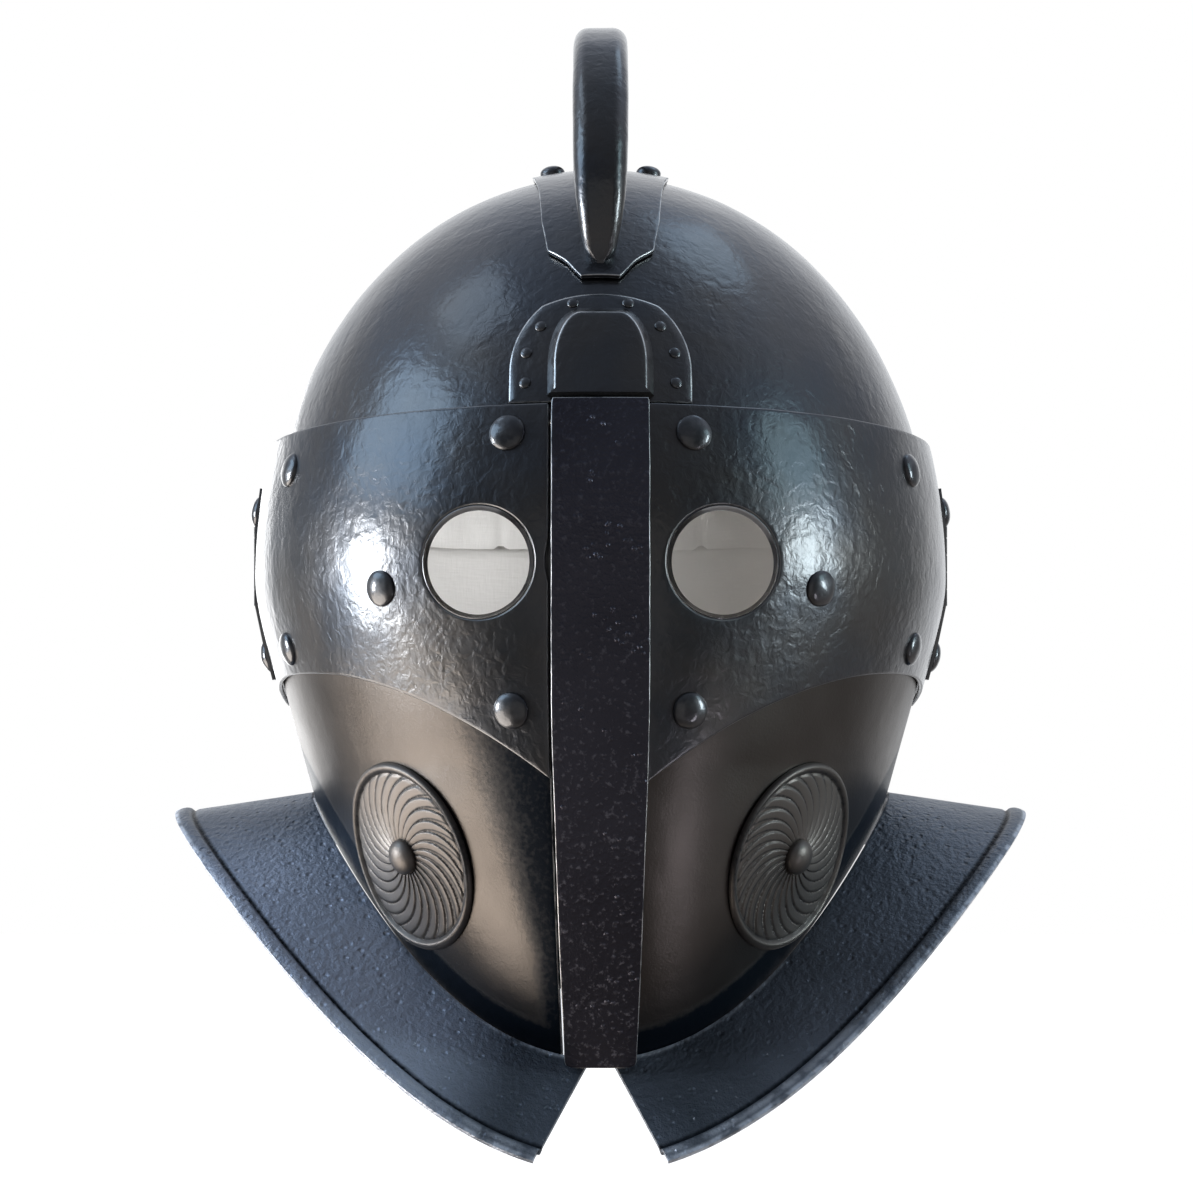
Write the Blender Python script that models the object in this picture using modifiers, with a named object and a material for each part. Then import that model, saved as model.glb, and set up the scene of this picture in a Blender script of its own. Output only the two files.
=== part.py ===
"""Closed gladiator-style helmet in blackened steel, built plate by plate.

Metres, +Z up. The wearer faces -Y, so the wearer's left is +X. The origin is the middle of
the head cavity, on the eye line. Every plate follows one form, the outer surface of the skull
bowl, at its own distance outside it. A place on the form is an azimuth (0 at the front, 90
degrees at the wearer's left) and a height.
"""
import math

import bmesh
import bpy
from mathutils import Matrix, Vector

# --- the form ---
FORM_HALF_WIDTH = 0.1145
FORM_FRONT = 0.134
FORM_BACK = 0.127
FORM_TOP = 0.139
CHEEK_SLOPE = 0.28          # how fast the cheeks close in below the eyes
CHEEK_ROUND = 0.012         # height over which that slope starts
CHIN_DROP = 0.148
CHIN_SETBACK = 0.034
NAPE_DROP = 0.09
NAPE_SETBACK = 0.008

# --- plates: distance of the outer face from the form, and thickness ---
GAP = 0.0003                # between pieces that touch
FACET_ALLOWANCE = 0.0005    # how far a flat facet may stand in from the round form
SKULL_OUT = -0.0003
SHEET = 0.0015
FACE_OUT = 0.0019
VISOR_OUT = 0.0040
LEAF_OUT = 0.0056
LEAF_SHEET = 0.0012
BAR_OUT = 0.0083
BAR_THICKNESS = 0.004

# --- edges, as heights above the eye line ---
VISOR_TOP = 0.045
VISOR_TOP_RISE = 0.003      # higher at the front than at the temples
VISOR_EDGE = -0.032
VISOR_NOSE_DROP = 0.044     # the lower edge dips to the middle
VISOR_TEMPLE_DIP = 0.010    # and again behind the cheek
VISOR_CALM = math.radians(51.5)
JAW_FRONT = -0.150
JAW_RISE = 0.077
SKULL_NAPE = -0.087
SKULL_NAPE_RISE = 0.014
DOOR_REAR = math.radians(92.5)
SKULL_EDGE_Y = -0.005       # the bowl's upright edge, under the doors

# --- centre bar and seam ---
BAR_TOP = 0.049
BAR_BOTTOM = -0.152
BAR_HALF_WIDTH = 0.0144
BAR_TAPER = 0.0034
BAR_STRAIGHT_BELOW = -0.120
SEAM_GAP = 0.0005

# --- eyes ---
EYE_X = 0.0363
EYE_Z = 0.0008
EYE_RADIUS_VISOR = 0.017
EYE_RADIUS_FACE = 0.0154

# --- collar and neck guard ---
COLLAR_HALF_WIDTH = 0.147
COLLAR_FRONT = 0.134
COLLAR_TIP = -0.179
COLLAR_RISE = 0.099
COLLAR_SHEET = 0.0018
COLLAR_SPLIT_INNER = 0.0034
COLLAR_SPLIT_OUTER = 0.0200
COLLAR_CALM = math.radians(90)
GUARD_FROM = math.radians(100)
GUARD_WIDTH = 0.042
GUARD_END_WIDTH = 0.008
GUARD_LIP = 0.012

# --- hinges ---
AXIS_X = 0.119
AXIS_Y = 0.011
KNUCKLE_RADIUS = 0.0032
LEAF_MEETS_BARREL = 0.0027  # how far outside the axis a leaf runs into its barrel
KNUCKLE_LENGTH = 0.006
KNUCKLE_COUNT = 5
KNUCKLES_FROM = -0.008
PIN_RADIUS = 0.0013
PIN_HEAD_RADIUS = 0.0024
LEAF_TOP = 0.032
LEAF_BOTTOM = -0.034
LEAF_FRONT_Y = -0.009
LEAF_REAR_Y = 0.034

# --- rivets: head radius, head height, shank radius ---
VISOR_RIVET = (0.0055, 0.0030, 0.0020)
CREST_RIVET = (0.0044, 0.0028, 0.0016)
LEAF_RIVET = (0.0035, 0.0018, 0.0014)
BROW_RIVET = (0.00195, 0.0009, 0.0008)
BOSS = (0.0057, 0.0044, 0.0016)
RIVET_TAIL = 0.0010         # height of the head beaten up inside

# (distance from the middle, height) of the visor rivets, from brow to temple
VISOR_RIVETS = [(0.0267, 0.0390), (0.0255, -0.0430), (0.0644, -0.0064),
                (0.0960, 0.0330), (0.0975, -0.0240)]
HINGE_RIVETS_Y = -0.003
HINGE_RIVETS_Z = [0.024, -0.026]
LEAF_RIVETS_Y = 0.027
LEAF_RIVETS_Z = [0.016, -0.002]
NECK_RIVETS_AZIMUTH = [math.radians(angle) for angle in (130, 180, 230)]

# --- brow pieces ---
BROW_OUT = 0.0016
TONGUE_OUT = 0.0062
BROW_BOTTOM = 0.0484
BROW_HALF_WIDTH = 0.0273
BROW_SHOULDER = 0.058       # where the straight sides end
BROW_SHOULDER_RADIUS = 0.0284
BROW_CORNER = 0.0177
BROW_TOP = 0.0832
BROW_TOP_RADIUS = 0.0421
TONGUE_BOTTOM = 0.0503
TONGUE_TOP = 0.0785
TONGUE_HALF_WIDTH = 0.0159
TONGUE_FLAT = 0.0058
TONGUE_SHOULDER = 0.060
BROW_RIVETS = [(0.0222, 0.0545), (0.0219, 0.0640), (0.0177, 0.0725), (0.0082, 0.0800)]

# --- crest ---
SADDLE_OUT = 0.0018
SADDLE_SHEET = 0.0015
# (distance forward of the crest's middle, half width) down one end of the saddle
SADDLE_STATIONS = [(0.0, 0.0230), (0.026, 0.0230), (0.060, 0.0200), (0.082, 0.0186),
                   (0.0945, 0.0166), (0.0990, 0.0110), (0.103, 0.0076), (0.1045, 0.0060)]
CREST_RIVET_X = 0.0163
CREST_RIVET_Y = 0.018
CREST_HALF_WIDTH = 0.0089
CREST_HALF_DEPTH = 0.0075
CREST_CORNER = 0.0050
# (y, z, share of the full section) along the arch's middle line, front foot to rear foot
CREST_LINE = [(-0.0885, 0.074, 0.10), (-0.0962, 0.090, 0.30), (-0.0990, 0.106, 0.88),
              (-0.0985, 0.130, 1.0), (-0.082, 0.158, 1.0), (-0.050, 0.1745, 1.0), (-0.015, 0.1773, 1.0),
              (0.022, 0.1700, 1.0), (0.052, 0.152, 1.0), (0.068, 0.130, 0.9),
              (0.072, 0.098, 0.7)]

# --- rosettes ---
ROSETTE_X = 0.059
ROSETTE_Z = -0.089
ROSETTE_RADIUS = 0.0305
ROSETTE_OUT = 0.0043

# --- lining ---
LINER_OUT = -0.0042
LINER_THICKNESS = 0.006
LINER_SEAM = 0.011
LINER_SEAM_GAP = 0.0024     # the pads' inner edges lean towards each other
LINER_BROW = 0.050
NAPE_PAD_BOTTOM = -0.068
NAPE_PAD_FROM = math.radians(99)

# --- catch behind the chin ---
CATCH_Z = -0.118
CATCH_TONGUE_HEIGHT = 0.004
CATCH_JAW_HEIGHT = 0.002

# the object's own colours: name -> (base colour, metallic, roughness)
FINISHES = {
    "hammered_steel": ((0.045, 0.050, 0.060), 0.9, 0.30),
    "satin_steel": ((0.060, 0.055, 0.052), 0.9, 0.38),
    "grained_steel": ((0.035, 0.040, 0.050), 0.9, 0.48),
    "rivet_steel": ((0.050, 0.055, 0.065), 0.95, 0.25),
    "bare_steel": ((0.30, 0.30, 0.31), 1.0, 0.35),
    "quilted_linen": ((0.62, 0.60, 0.56), 0.0, 0.90),
}


# ----------------------------------------------------------------- scene and materials

def clear_scene():
    for item in list(bpy.data.objects):
        bpy.data.objects.remove(item, do_unlink=True)


def new_collection(name):
    collection = bpy.data.collections.new(name)
    bpy.context.scene.collection.children.link(collection)
    return collection


def material(name, finish):
    """A material of the sub-part's own, in one of the helmet's finishes."""
    colour, metallic, roughness = FINISHES[finish]
    made = bpy.data.materials.new(name)
    made.use_nodes = True
    shader = made.node_tree.nodes["Principled BSDF"]
    shader.inputs["Base Color"].default_value = (*colour, 1.0)
    shader.inputs["Metallic"].default_value = metallic
    shader.inputs["Roughness"].default_value = roughness
    made.diffuse_color = (*colour, 1.0)
    return made


def add_part(name, mesh, finish, parent=None):
    """Put a mesh in the helmet's collection, turning with the hinge empty given as parent."""
    part = bpy.data.objects.new(name, mesh)
    parts_collection.objects.link(part)
    if not mesh.materials:
        mesh.materials.append(material(name, finish))
    if parent is not None:
        part.parent = parent
        part.matrix_parent_inverse = Matrix.Translation(-parent.location)
    return part


def add_cutter(name, mesh):
    cutter = bpy.data.objects.new(name, mesh)
    cutters_collection.objects.link(cutter)
    cutter.hide_render = True
    cutter.display_type = "WIRE"
    return cutter


# ----------------------------------------------------------------- the form

def section(height, out):
    """Half width, front depth, back depth and front exponent of the form's level section."""
    if height >= 0.0:
        rise = min(1.0, height / (FORM_TOP + out))
        width_share = math.sqrt(1.0 - rise ** 2.1)
        depth_share = math.sqrt(1.0 - rise ** 2)
        return ((FORM_HALF_WIDTH + out) * width_share, (FORM_FRONT + out) * depth_share,
                (FORM_BACK + out) * depth_share, 2.0)
    drop = -height
    close_in = CHEEK_SLOPE * (math.hypot(drop, CHEEK_ROUND) - CHEEK_ROUND)
    half_width = FORM_HALF_WIDTH + out - close_in
    front = FORM_FRONT + out - CHIN_SETBACK * (drop / CHIN_DROP) ** 2.2
    back = FORM_BACK + out - NAPE_SETBACK * (drop / NAPE_DROP) ** 1.5
    return half_width, front, back, 2.0 - 0.2 * min(1.0, drop / 0.06)


def form_point(azimuth, height, out=0.0):
    """The point of the form in a direction and at a height, moved out by a distance."""
    half_width, front, back, power = section(height, out)
    if half_width < 1e-6:
        return Vector((0.0, 0.0, height))
    across, ahead = math.sin(azimuth), math.cos(azimuth)
    depth = front if ahead >= 0.0 else back
    power = power if ahead >= 0.0 else 2.0
    reach = (abs(across / half_width) ** power + abs(ahead / depth) ** power) ** (-1.0 / power)
    return Vector((reach * across, -reach * ahead, height))


def azimuth_at_x(x, height):
    """The azimuth of the form's front where it is x from the middle."""
    half_width, front, _, power = section(height, 0.0)
    depth = front * (1.0 - abs(x / half_width) ** power) ** (1.0 / power)
    return math.atan2(x, depth)


def form_x(y, height, out):
    """Half the form's width at a distance y behind its middle."""
    half_width, front, back, power = section(height, out)
    depth, power = (front, power) if y < 0.0 else (back, 2.0)
    return half_width * (1.0 - abs(y / depth) ** power) ** (1.0 / power)


def dome_height(x, y, out):
    """The height of the dome over a point in plan, found by halving."""
    low, high = 0.0, FORM_TOP + out
    for _ in range(40):
        middle = 0.5 * (low + high)
        half_width, front, back, _ = section(middle, out)
        depth = front if y < 0.0 else back
        inside = half_width > 0.0 and (x / half_width) ** 2 + (y / depth) ** 2 < 1.0
        low, high = (middle, high) if inside else (low, middle)
    return low


def form_normal(azimuth, height):
    """The form's outward direction."""
    step = 0.001
    along = form_point(azimuth + step, height) - form_point(azimuth - step, height)
    up = form_point(azimuth, height + step) - form_point(azimuth, height - step)
    return along.cross(up).normalized()


# ----------------------------------------------------------------- mesh tools

def smooth(mesh, angle=35):
    mesh.shade_smooth()
    mesh.set_sharp_from_angle(angle=math.radians(angle))


def bent_grid(name, columns, rows, place, weld=False):
    """A grid whose corners are moved by place(u, v), with u and v from 0 to 1."""
    bm = bmesh.new()
    bmesh.ops.create_grid(bm, x_segments=columns, y_segments=rows, size=0.5)
    for vertex in bm.verts:
        vertex.co = place(vertex.co.x + 0.5, vertex.co.y + 0.5)
    if weld:
        bmesh.ops.remove_doubles(bm, verts=bm.verts, dist=1e-6)
    mesh = bpy.data.meshes.new(name)
    bm.to_mesh(mesh)
    bm.free()
    smooth(mesh)
    return mesh


def solidify(part, thickness):
    modifier = part.modifiers.new("thickness", "SOLIDIFY")
    modifier.thickness = thickness
    modifier.offset = -1.0


def boolean(part, cutter, operation="DIFFERENCE", solver="EXACT"):
    modifier = part.modifiers.new(cutter.name, "BOOLEAN")
    modifier.operation = operation
    modifier.solver = solver
    modifier.object = cutter


def outline_solid(name, outline, half_depth, turn):
    """A flat outline, extruded both ways and turned into place, as a mesh cutter."""
    curve = bpy.data.curves.new(name, "CURVE")
    curve.dimensions = "2D"
    curve.fill_mode = "BOTH"
    curve.extrude = half_depth
    spline = curve.splines.new("POLY")
    spline.points.add(len(outline) - 1)
    spline.use_cyclic_u = True
    for point, (across, up) in zip(spline.points, outline):
        point.co = (across, up, 0.0, 1.0)
    guide = bpy.data.objects.new(name + "_outline", curve)
    guide.matrix_world = turn
    cutters_collection.objects.link(guide)
    return mesh_from_curve(guide, name)


def mesh_from_curve(guide, name):
    """The curve's solid as a mesh object, with its caps welded on."""
    bpy.context.view_layer.update()
    evaluated = guide.evaluated_get(bpy.context.evaluated_depsgraph_get())
    mesh = bpy.data.meshes.new_from_object(evaluated)
    mesh.name = name
    bm = bmesh.new()
    bm.from_mesh(mesh)
    bmesh.ops.remove_doubles(bm, verts=bm.verts, dist=1e-5)
    bmesh.ops.recalc_face_normals(bm, faces=bm.faces)
    bm.to_mesh(mesh)
    bm.free()
    cutter = add_cutter(name, mesh)
    cutter.matrix_world = guide.matrix_world.copy()
    bpy.data.objects.remove(guide)
    return cutter


FACING_FRONT = Matrix.Rotation(math.radians(90), 4, "X")
FACING_SIDE = Matrix(((0, 0, 1, 0), (1, 0, 0, 0), (0, 1, 0, 0), (0, 0, 0, 1)))
FLAT = Matrix.Identity(4)


def box(bm, low, high):
    """Add a box between two corners."""
    low, high = Vector(low), Vector(high)
    place = Matrix.Translation((low + high) / 2) @ Matrix.Diagonal((*(high - low), 1.0))
    bmesh.ops.create_cube(bm, size=1.0, matrix=place)


def cylinder(bm, centre, direction, radius, length, sides=24):
    turn = direction.to_track_quat("Z", "Y").to_matrix().to_4x4()
    bmesh.ops.create_cone(bm, cap_ends=True, segments=sides, radius1=radius, radius2=radius,
                          depth=length, matrix=Matrix.Translation(centre) @ turn)


def mesh_of(name, build):
    """A mesh made by a function that adds its shapes to a bmesh."""
    bm = bmesh.new()
    build(bm)
    mesh = bpy.data.meshes.new(name)
    bm.to_mesh(mesh)
    bm.free()
    return mesh


def holes(name, places, radius, length=0.02, sides=10):
    """One cutter with a round hole at each (point, direction)."""
    def build(bm):
        for point, direction in places:
            cylinder(bm, point, direction, radius + GAP, length, sides)
    return add_cutter(name, mesh_of(name, build))


def form_solid(name, out, bottom):
    """Everything inside the form above a height, as a cutter."""
    def place(u, v):
        azimuth = 2 * math.pi * u
        if v < 0.5:
            return form_point(azimuth, bottom * (1 - 2 * v), out)
        height = (FORM_TOP + out) * math.sin(math.pi * (v - 0.5))
        return form_point(azimuth, height, out)
    mesh = bent_grid(name, 48, 24, place, weld=True)
    bm = bmesh.new()
    bm.from_mesh(mesh)
    bmesh.ops.holes_fill(bm, edges=[edge for edge in bm.edges if edge.is_boundary])
    bmesh.ops.recalc_face_normals(bm, faces=bm.faces)
    bm.to_mesh(mesh)
    bm.free()
    return add_cutter(name, mesh)


# ----------------------------------------------------------------- rivets

def rivet_profile(name, head, grip):
    """Half a rivet: domed head, shank, and the head beaten up inside, turned about Z.

    The head's underside is at height 0, and grip is the thickness that it holds."""
    radius, height, shank = head
    tail = min(0.6 * radius, shank + 0.0012)
    outline = [(0.0, height), (0.64 * radius, 0.76 * height), (radius, 0.0), (shank, 0.0),
               (shank, -grip), (tail, -grip), (0.0, -grip - RIVET_TAIL)]
    mesh = bpy.data.meshes.new(name)
    edges = [(index, index + 1) for index in range(len(outline) - 1)]
    mesh.from_pydata([(x, 0.0, z) for x, z in outline], edges, [])
    return mesh


def turned(part, steps):
    modifier = part.modifiers.new("turned", "SCREW")
    modifier.steps = steps
    modifier.render_steps = steps
    modifier.use_merge_vertices = True
    modifier.merge_threshold = 0.00005
    modifier.use_smooth_shade = True


def rivet(name, mesh, point, direction, parent=None, steps=10):
    """A rivet standing on a plate's outer face, a gap above it."""
    part = add_part(name, mesh, "rivet_steel", parent)
    part.location = point + GAP * direction
    part.rotation_euler = direction.to_track_quat("Z", "Y").to_euler()
    turned(part, steps)
    return part


def places_on_form(spots, side=1):
    """(azimuth, height) of spots given as a distance from the middle and a height."""
    return [(azimuth_at_x(side * x, z), z) for x, z in spots]


def seats(spots, out):
    """(point, direction) on a plate's outer face at each (azimuth, height)."""
    return [(form_point(azimuth, height, out), form_normal(azimuth, height))
            for azimuth, height in spots]


def grip(outer, inner):
    """What a rivet holds between two distances from the form, with a gap at each end."""
    return outer - inner + 2 * GAP + FACET_ALLOWANCE


# ----------------------------------------------------------------- edges of the face

def visor_top(azimuth):
    return VISOR_TOP + VISOR_TOP_RISE * math.cos(azimuth) ** 2


def visor_bottom(azimuth):
    turned_by = abs(azimuth)
    nose = max(0.0, 1.0 - turned_by / VISOR_CALM) ** 2.5
    temple = max(0.0, (turned_by - VISOR_CALM) / (math.pi / 2 - VISOR_CALM)) ** 2
    return VISOR_EDGE - VISOR_NOSE_DROP * nose - VISOR_TEMPLE_DIP * temple


def jaw(azimuth):
    return JAW_FRONT + JAW_RISE * math.sin(azimuth) ** 2


def skull_bottom(azimuth):
    return SKULL_NAPE + SKULL_NAPE_RISE * math.sin(azimuth) ** 2


def bar_half_width(height):
    below = min(1.0, max(0.0, (-0.040 - height) / 0.110))
    return BAR_HALF_WIDTH - BAR_TAPER * below ** 1.2


def bar_front(height):
    """How far forward the centre bar's outer face is."""
    height_on_form = max(height, BAR_STRAIGHT_BELOW)
    reach = section(height_on_form, BAR_OUT)[1]
    slope = (section(BAR_STRAIGHT_BELOW + 0.001, 0.0)[1] - section(BAR_STRAIGHT_BELOW, 0.0)[1]) / 0.001
    return reach - slope * (height_on_form - height)


def seam_x(side, height):
    """Where a door's plates end at the seam along the bar's right-hand edge."""
    inset = -GAP if side > 0 else SEAM_GAP
    return -(bar_half_width(height) + inset)


def door_span(side, height):
    """The azimuths between which a door's plates lie, in rising order."""
    seam = azimuth_at_x(seam_x(side, height), height)
    return (seam, DOOR_REAR) if side > 0 else (-DOOR_REAR, seam)


def door_plate(name, side, out, lower, upper, columns, rows):
    """A plate of a door, from the seam to the temple, between two edges."""
    def place(u, v):
        height = -0.05
        for _ in range(3):
            first, last = door_span(side, height)
            azimuth = first + (last - first) * u
            height = lower(azimuth) + (upper(azimuth) - lower(azimuth)) * v
        return form_point(azimuth, height, out)
    return bent_grid(name, columns, rows, place)


# ----------------------------------------------------------------- skull

def make_skull(hole_places):
    level = 4 / 16             # the share of the rows below the eye line

    def place(u, v):
        azimuth = 2 * math.pi * u
        if v < level:
            return form_point(azimuth, skull_bottom(azimuth) * (1 - v / level), SKULL_OUT)
        height = (FORM_TOP + SKULL_OUT) * math.sin(math.pi / 2 * (v - level) / (1 - level))
        return form_point(azimuth, height, SKULL_OUT)

    skull = add_part("skull_bowl", bent_grid("skull_bowl", 44, 16, place, weld=True),
                     "hammered_steel")
    solidify(skull, SHEET)
    opening = [(-0.200, -0.200), (SKULL_EDGE_Y, -0.200), (SKULL_EDGE_Y, 0.0402),
               (-0.134, 0.0432), (-0.200, 0.0447)]
    boolean(skull, outline_solid("face_opening", opening, 0.15, FACING_SIDE))
    clearances = [(Vector((side * FORM_HALF_WIDTH, HINGE_RIVETS_Y, z)), Vector((side, 0, 0)))
                  for side in (1, -1) for z in HINGE_RIVETS_Z]
    boolean(skull, holes("hinge_rivet_clearances", clearances, 0.0045, 0.03, 12))
    boolean(skull, hole_places)
    return skull


def make_neck_guard(hole_cutter):
    def place(u, v):
        azimuth = GUARD_FROM + (2 * math.pi - 2 * GUARD_FROM) * u
        from_end = min(u, 1 - u)
        share = min(1.0, from_end / 0.22)
        width = GUARD_END_WIDTH + (GUARD_WIDTH - GUARD_END_WIDTH) * share * share * (3 - 2 * share)
        edge = skull_bottom(azimuth)
        if v > 0.6:
            return form_point(azimuth, edge + GUARD_LIP * (v - 0.6) / 0.4, BROW_OUT)
        flare = 1 - v / 0.6
        base = form_point(azimuth, edge, BROW_OUT)
        outwards = Vector((math.sin(azimuth), -math.cos(azimuth), 0.0))
        drop = 0.42 * width * (1 - (1 - flare) ** 1.4)
        return base + outwards * width * flare ** 1.15 - Vector((0, 0, drop))

    guard = add_part("neck_guard", bent_grid("neck_guard", 20, 5, place), "grained_steel")
    solidify(guard, BROW_OUT - GAP)
    boolean(guard, hole_cutter)
    return guard


# ----------------------------------------------------------------- brow

def arc(centre, radii, start, end, count):
    """Points on an ellipse's arc, angles in degrees from the across axis."""
    angles = [math.radians(start + (end - start) * index / count) for index in range(count + 1)]
    return [(centre[0] + radii[0] * math.cos(angle), centre[1] + radii[1] * math.sin(angle))
            for angle in angles]


def both_sides(half):
    """A closed outline from its right half, listed bottom to top."""
    return half + [(-across, up) for across, up in reversed(half) if across > 1e-9]


def brow_outline():
    shoulder_centre = (BROW_HALF_WIDTH - BROW_SHOULDER_RADIUS, BROW_SHOULDER)
    corner = math.degrees(math.acos((BROW_CORNER - shoulder_centre[0]) / BROW_SHOULDER_RADIUS))
    rise = math.degrees(math.acos(BROW_CORNER / BROW_TOP_RADIUS))
    half = [(BROW_HALF_WIDTH, BROW_BOTTOM)]
    half += arc(shoulder_centre, (BROW_SHOULDER_RADIUS,) * 2, 0, corner, 5)
    half += arc((0.0, BROW_TOP - BROW_TOP_RADIUS), (BROW_TOP_RADIUS,) * 2, rise, 90, 4)[1:]
    return both_sides(half)


def tongue_outline():
    half = [(TONGUE_HALF_WIDTH, TONGUE_BOTTOM)]
    half += arc((TONGUE_FLAT, TONGUE_SHOULDER),
                (TONGUE_HALF_WIDTH - TONGUE_FLAT - 0.0006, TONGUE_TOP - TONGUE_SHOULDER), 0, 90, 7)
    return both_sides(half)


def brow_patch(name, outline, out, thickness, finish):
    """A plate on the brow with an outline as seen from the front."""
    def place(u, v):
        height = 0.042 + 0.050 * v
        return form_point(math.radians(-19 + 38 * u), height, out)
    part = add_part(name, bent_grid(name, 10, 8, place), finish)
    solidify(part, thickness)
    shape = outline_solid(name + "_outline", outline, 0.05,
                          Matrix.Translation((0, -0.12, 0)) @ FACING_FRONT)
    boolean(part, shape, "INTERSECT")
    return part


# ----------------------------------------------------------------- crest

def saddle_half_width(y):
    """The saddle's half width, straight between its stations."""
    along = abs(y)
    for (first, width), (last, next_width) in zip(SADDLE_STATIONS, SADDLE_STATIONS[1:]):
        if along <= last:
            return width + (next_width - width) * (along - first) / (last - first)
    return SADDLE_STATIONS[-1][1]


def make_saddle(hole_cutter):
    ends = [station[0] for station in SADDLE_STATIONS]
    rows = [0.0, 0.013, 0.026, 0.043] + ends[2:]
    lines = [-y for y in reversed(rows)] + rows[1:]

    def place(u, v):
        y = lines[round(v * (len(lines) - 1))]
        x = (2 * u - 1) * saddle_half_width(y)
        return Vector((x, y, dome_height(x, y, SADDLE_OUT)))

    saddle = add_part("crest_saddle", bent_grid("crest_saddle", 4, len(lines) - 1, place),
                      "hammered_steel")
    solidify(saddle, SADDLE_SHEET)
    boolean(saddle, hole_cutter)
    return saddle


def crest_section():
    """The bar's section as a closed curve: a rectangle with round corners."""
    curve = bpy.data.curves.new("crest_section", "CURVE")
    curve.dimensions = "2D"
    straight = (CREST_HALF_WIDTH - CREST_CORNER, CREST_HALF_DEPTH - CREST_CORNER)
    outline = []
    for quarter in range(4):
        start = 90 * quarter
        across = straight[0] if quarter in (0, 3) else -straight[0]
        up = straight[1] if quarter in (0, 1) else -straight[1]
        outline += arc((across, up), (CREST_CORNER,) * 2, start, start + 90, 3)
    spline = curve.splines.new("POLY")
    spline.points.add(len(outline) - 1)
    spline.use_cyclic_u = True
    for point, (across, up) in zip(spline.points, outline):
        point.co = (across, up, 0.0, 1.0)
    guide = bpy.data.objects.new("crest_section", curve)
    cutters_collection.objects.link(guide)
    guide.hide_render = True
    guide.display_type = "WIRE"
    return guide


def make_crest():
    curve = bpy.data.curves.new("crest_line", "CURVE")
    curve.dimensions = "3D"
    curve.bevel_mode = "OBJECT"
    curve.bevel_object = crest_section()
    curve.use_fill_caps = True
    curve.twist_mode = "MINIMUM"
    spline = curve.splines.new("NURBS")
    spline.points.add(len(CREST_LINE) - 1)
    spline.order_u = 4
    spline.resolution_u = 2
    spline.use_endpoint_u = True
    for point, (y, z, share) in zip(spline.points, CREST_LINE):
        point.co = (0.0, y, z, 1.0)
        point.radius = share
    guide = bpy.data.objects.new("crest_line", curve)
    cutters_collection.objects.link(guide)
    solid = mesh_from_curve(guide, "crest_bar")
    crest = add_part("crest_arch", solid.data, "hammered_steel")
    bpy.data.objects.remove(solid)
    smooth(crest.data, 50)
    foot_cut = form_solid("crest_foot_cut", SADDLE_OUT + GAP + FACET_ALLOWANCE, -0.01)
    boolean(crest, foot_cut, solver="MANIFOLD")
    return crest


# ----------------------------------------------------------------- doors

def make_face_plate(name, side, cutters, parent):
    mesh = door_plate(name, side, FACE_OUT, lambda azimuth: jaw(azimuth) - 0.0015,
                      lambda azimuth: visor_top(azimuth) - 0.0015, 12, 12)
    plate = add_part(name, mesh, "satin_steel", parent)
    solidify(plate, SHEET)
    for cutter in cutters:
        boolean(plate, cutter)
    return plate


def make_visor_plate(name, side, cutters, parent):
    mesh = door_plate(name, side, VISOR_OUT, visor_bottom, visor_top, 12, 7)
    plate = add_part(name, mesh, "hammered_steel", parent)
    solidify(plate, SHEET)
    for cutter in cutters:
        boolean(plate, cutter)
    return plate


def eye_cutter(name, side, radius):
    centre = Vector((side * EYE_X, -0.12, EYE_Z))
    return add_cutter(name, mesh_of(name, lambda bm: cylinder(bm, centre, Vector((0, 1, 0)),
                                                             radius, 0.08, 32)))


def collar_edge_point(azimuth):
    """The collar's outer edge."""
    across, ahead = math.sin(azimuth), math.cos(azimuth)
    power = 1.8
    reach = (abs(across / COLLAR_HALF_WIDTH) ** power
             + abs(ahead / COLLAR_FRONT) ** power) ** (-1.0 / power)
    height = COLLAR_TIP + COLLAR_RISE * abs(across) ** 1.85
    return Vector((reach * across, -reach * ahead, height))


def make_collar(name, side, parent):
    """The flared flange, from the jaw out, with its front end cut back to the V."""
    inner_start = math.asin(COLLAR_SPLIT_INNER / 0.102)
    outer_start = math.asin(COLLAR_SPLIT_OUTER / COLLAR_FRONT)

    def place(u, v):
        spread = u if side > 0 else 1 - u
        inner_azimuth = side * (inner_start + (COLLAR_CALM - inner_start) * spread)
        outer_azimuth = side * (outer_start + (COLLAR_CALM - outer_start) * spread)
        inner = form_point(inner_azimuth, jaw(inner_azimuth), FACE_OUT + GAP + FACET_ALLOWANCE)
        outer = collar_edge_point(outer_azimuth)
        return outer.lerp(inner, v)

    collar = add_part(name, bent_grid(name, 14, 2, place), "grained_steel", parent)
    solidify(collar, COLLAR_SHEET)
    if side < 0:
        notch = mesh_of("bar_end_notch",
                        lambda bm: box(bm, (-0.0118, -0.1058, -0.17), (0.0, -0.09, -0.13)))
        boolean(collar, add_cutter("bar_end_notch", notch))
    return collar


def make_bar(parent):
    def place(u, v):
        height = BAR_BOTTOM + (BAR_TOP - BAR_BOTTOM) * v
        return Vector(((2 * u - 1) * bar_half_width(height), -bar_front(height), height))
    bar = add_part("centre_bar", bent_grid("centre_bar", 1, 14, place), "grained_steel", parent)
    solidify(bar, BAR_THICKNESS)
    bevel = bar.modifiers.new("rounded edges", "BEVEL")
    bevel.width = 0.0008
    bevel.segments = 1
    bevel.limit_method = "ANGLE"
    bevel.angle_limit = math.radians(60)
    return bar


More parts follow.
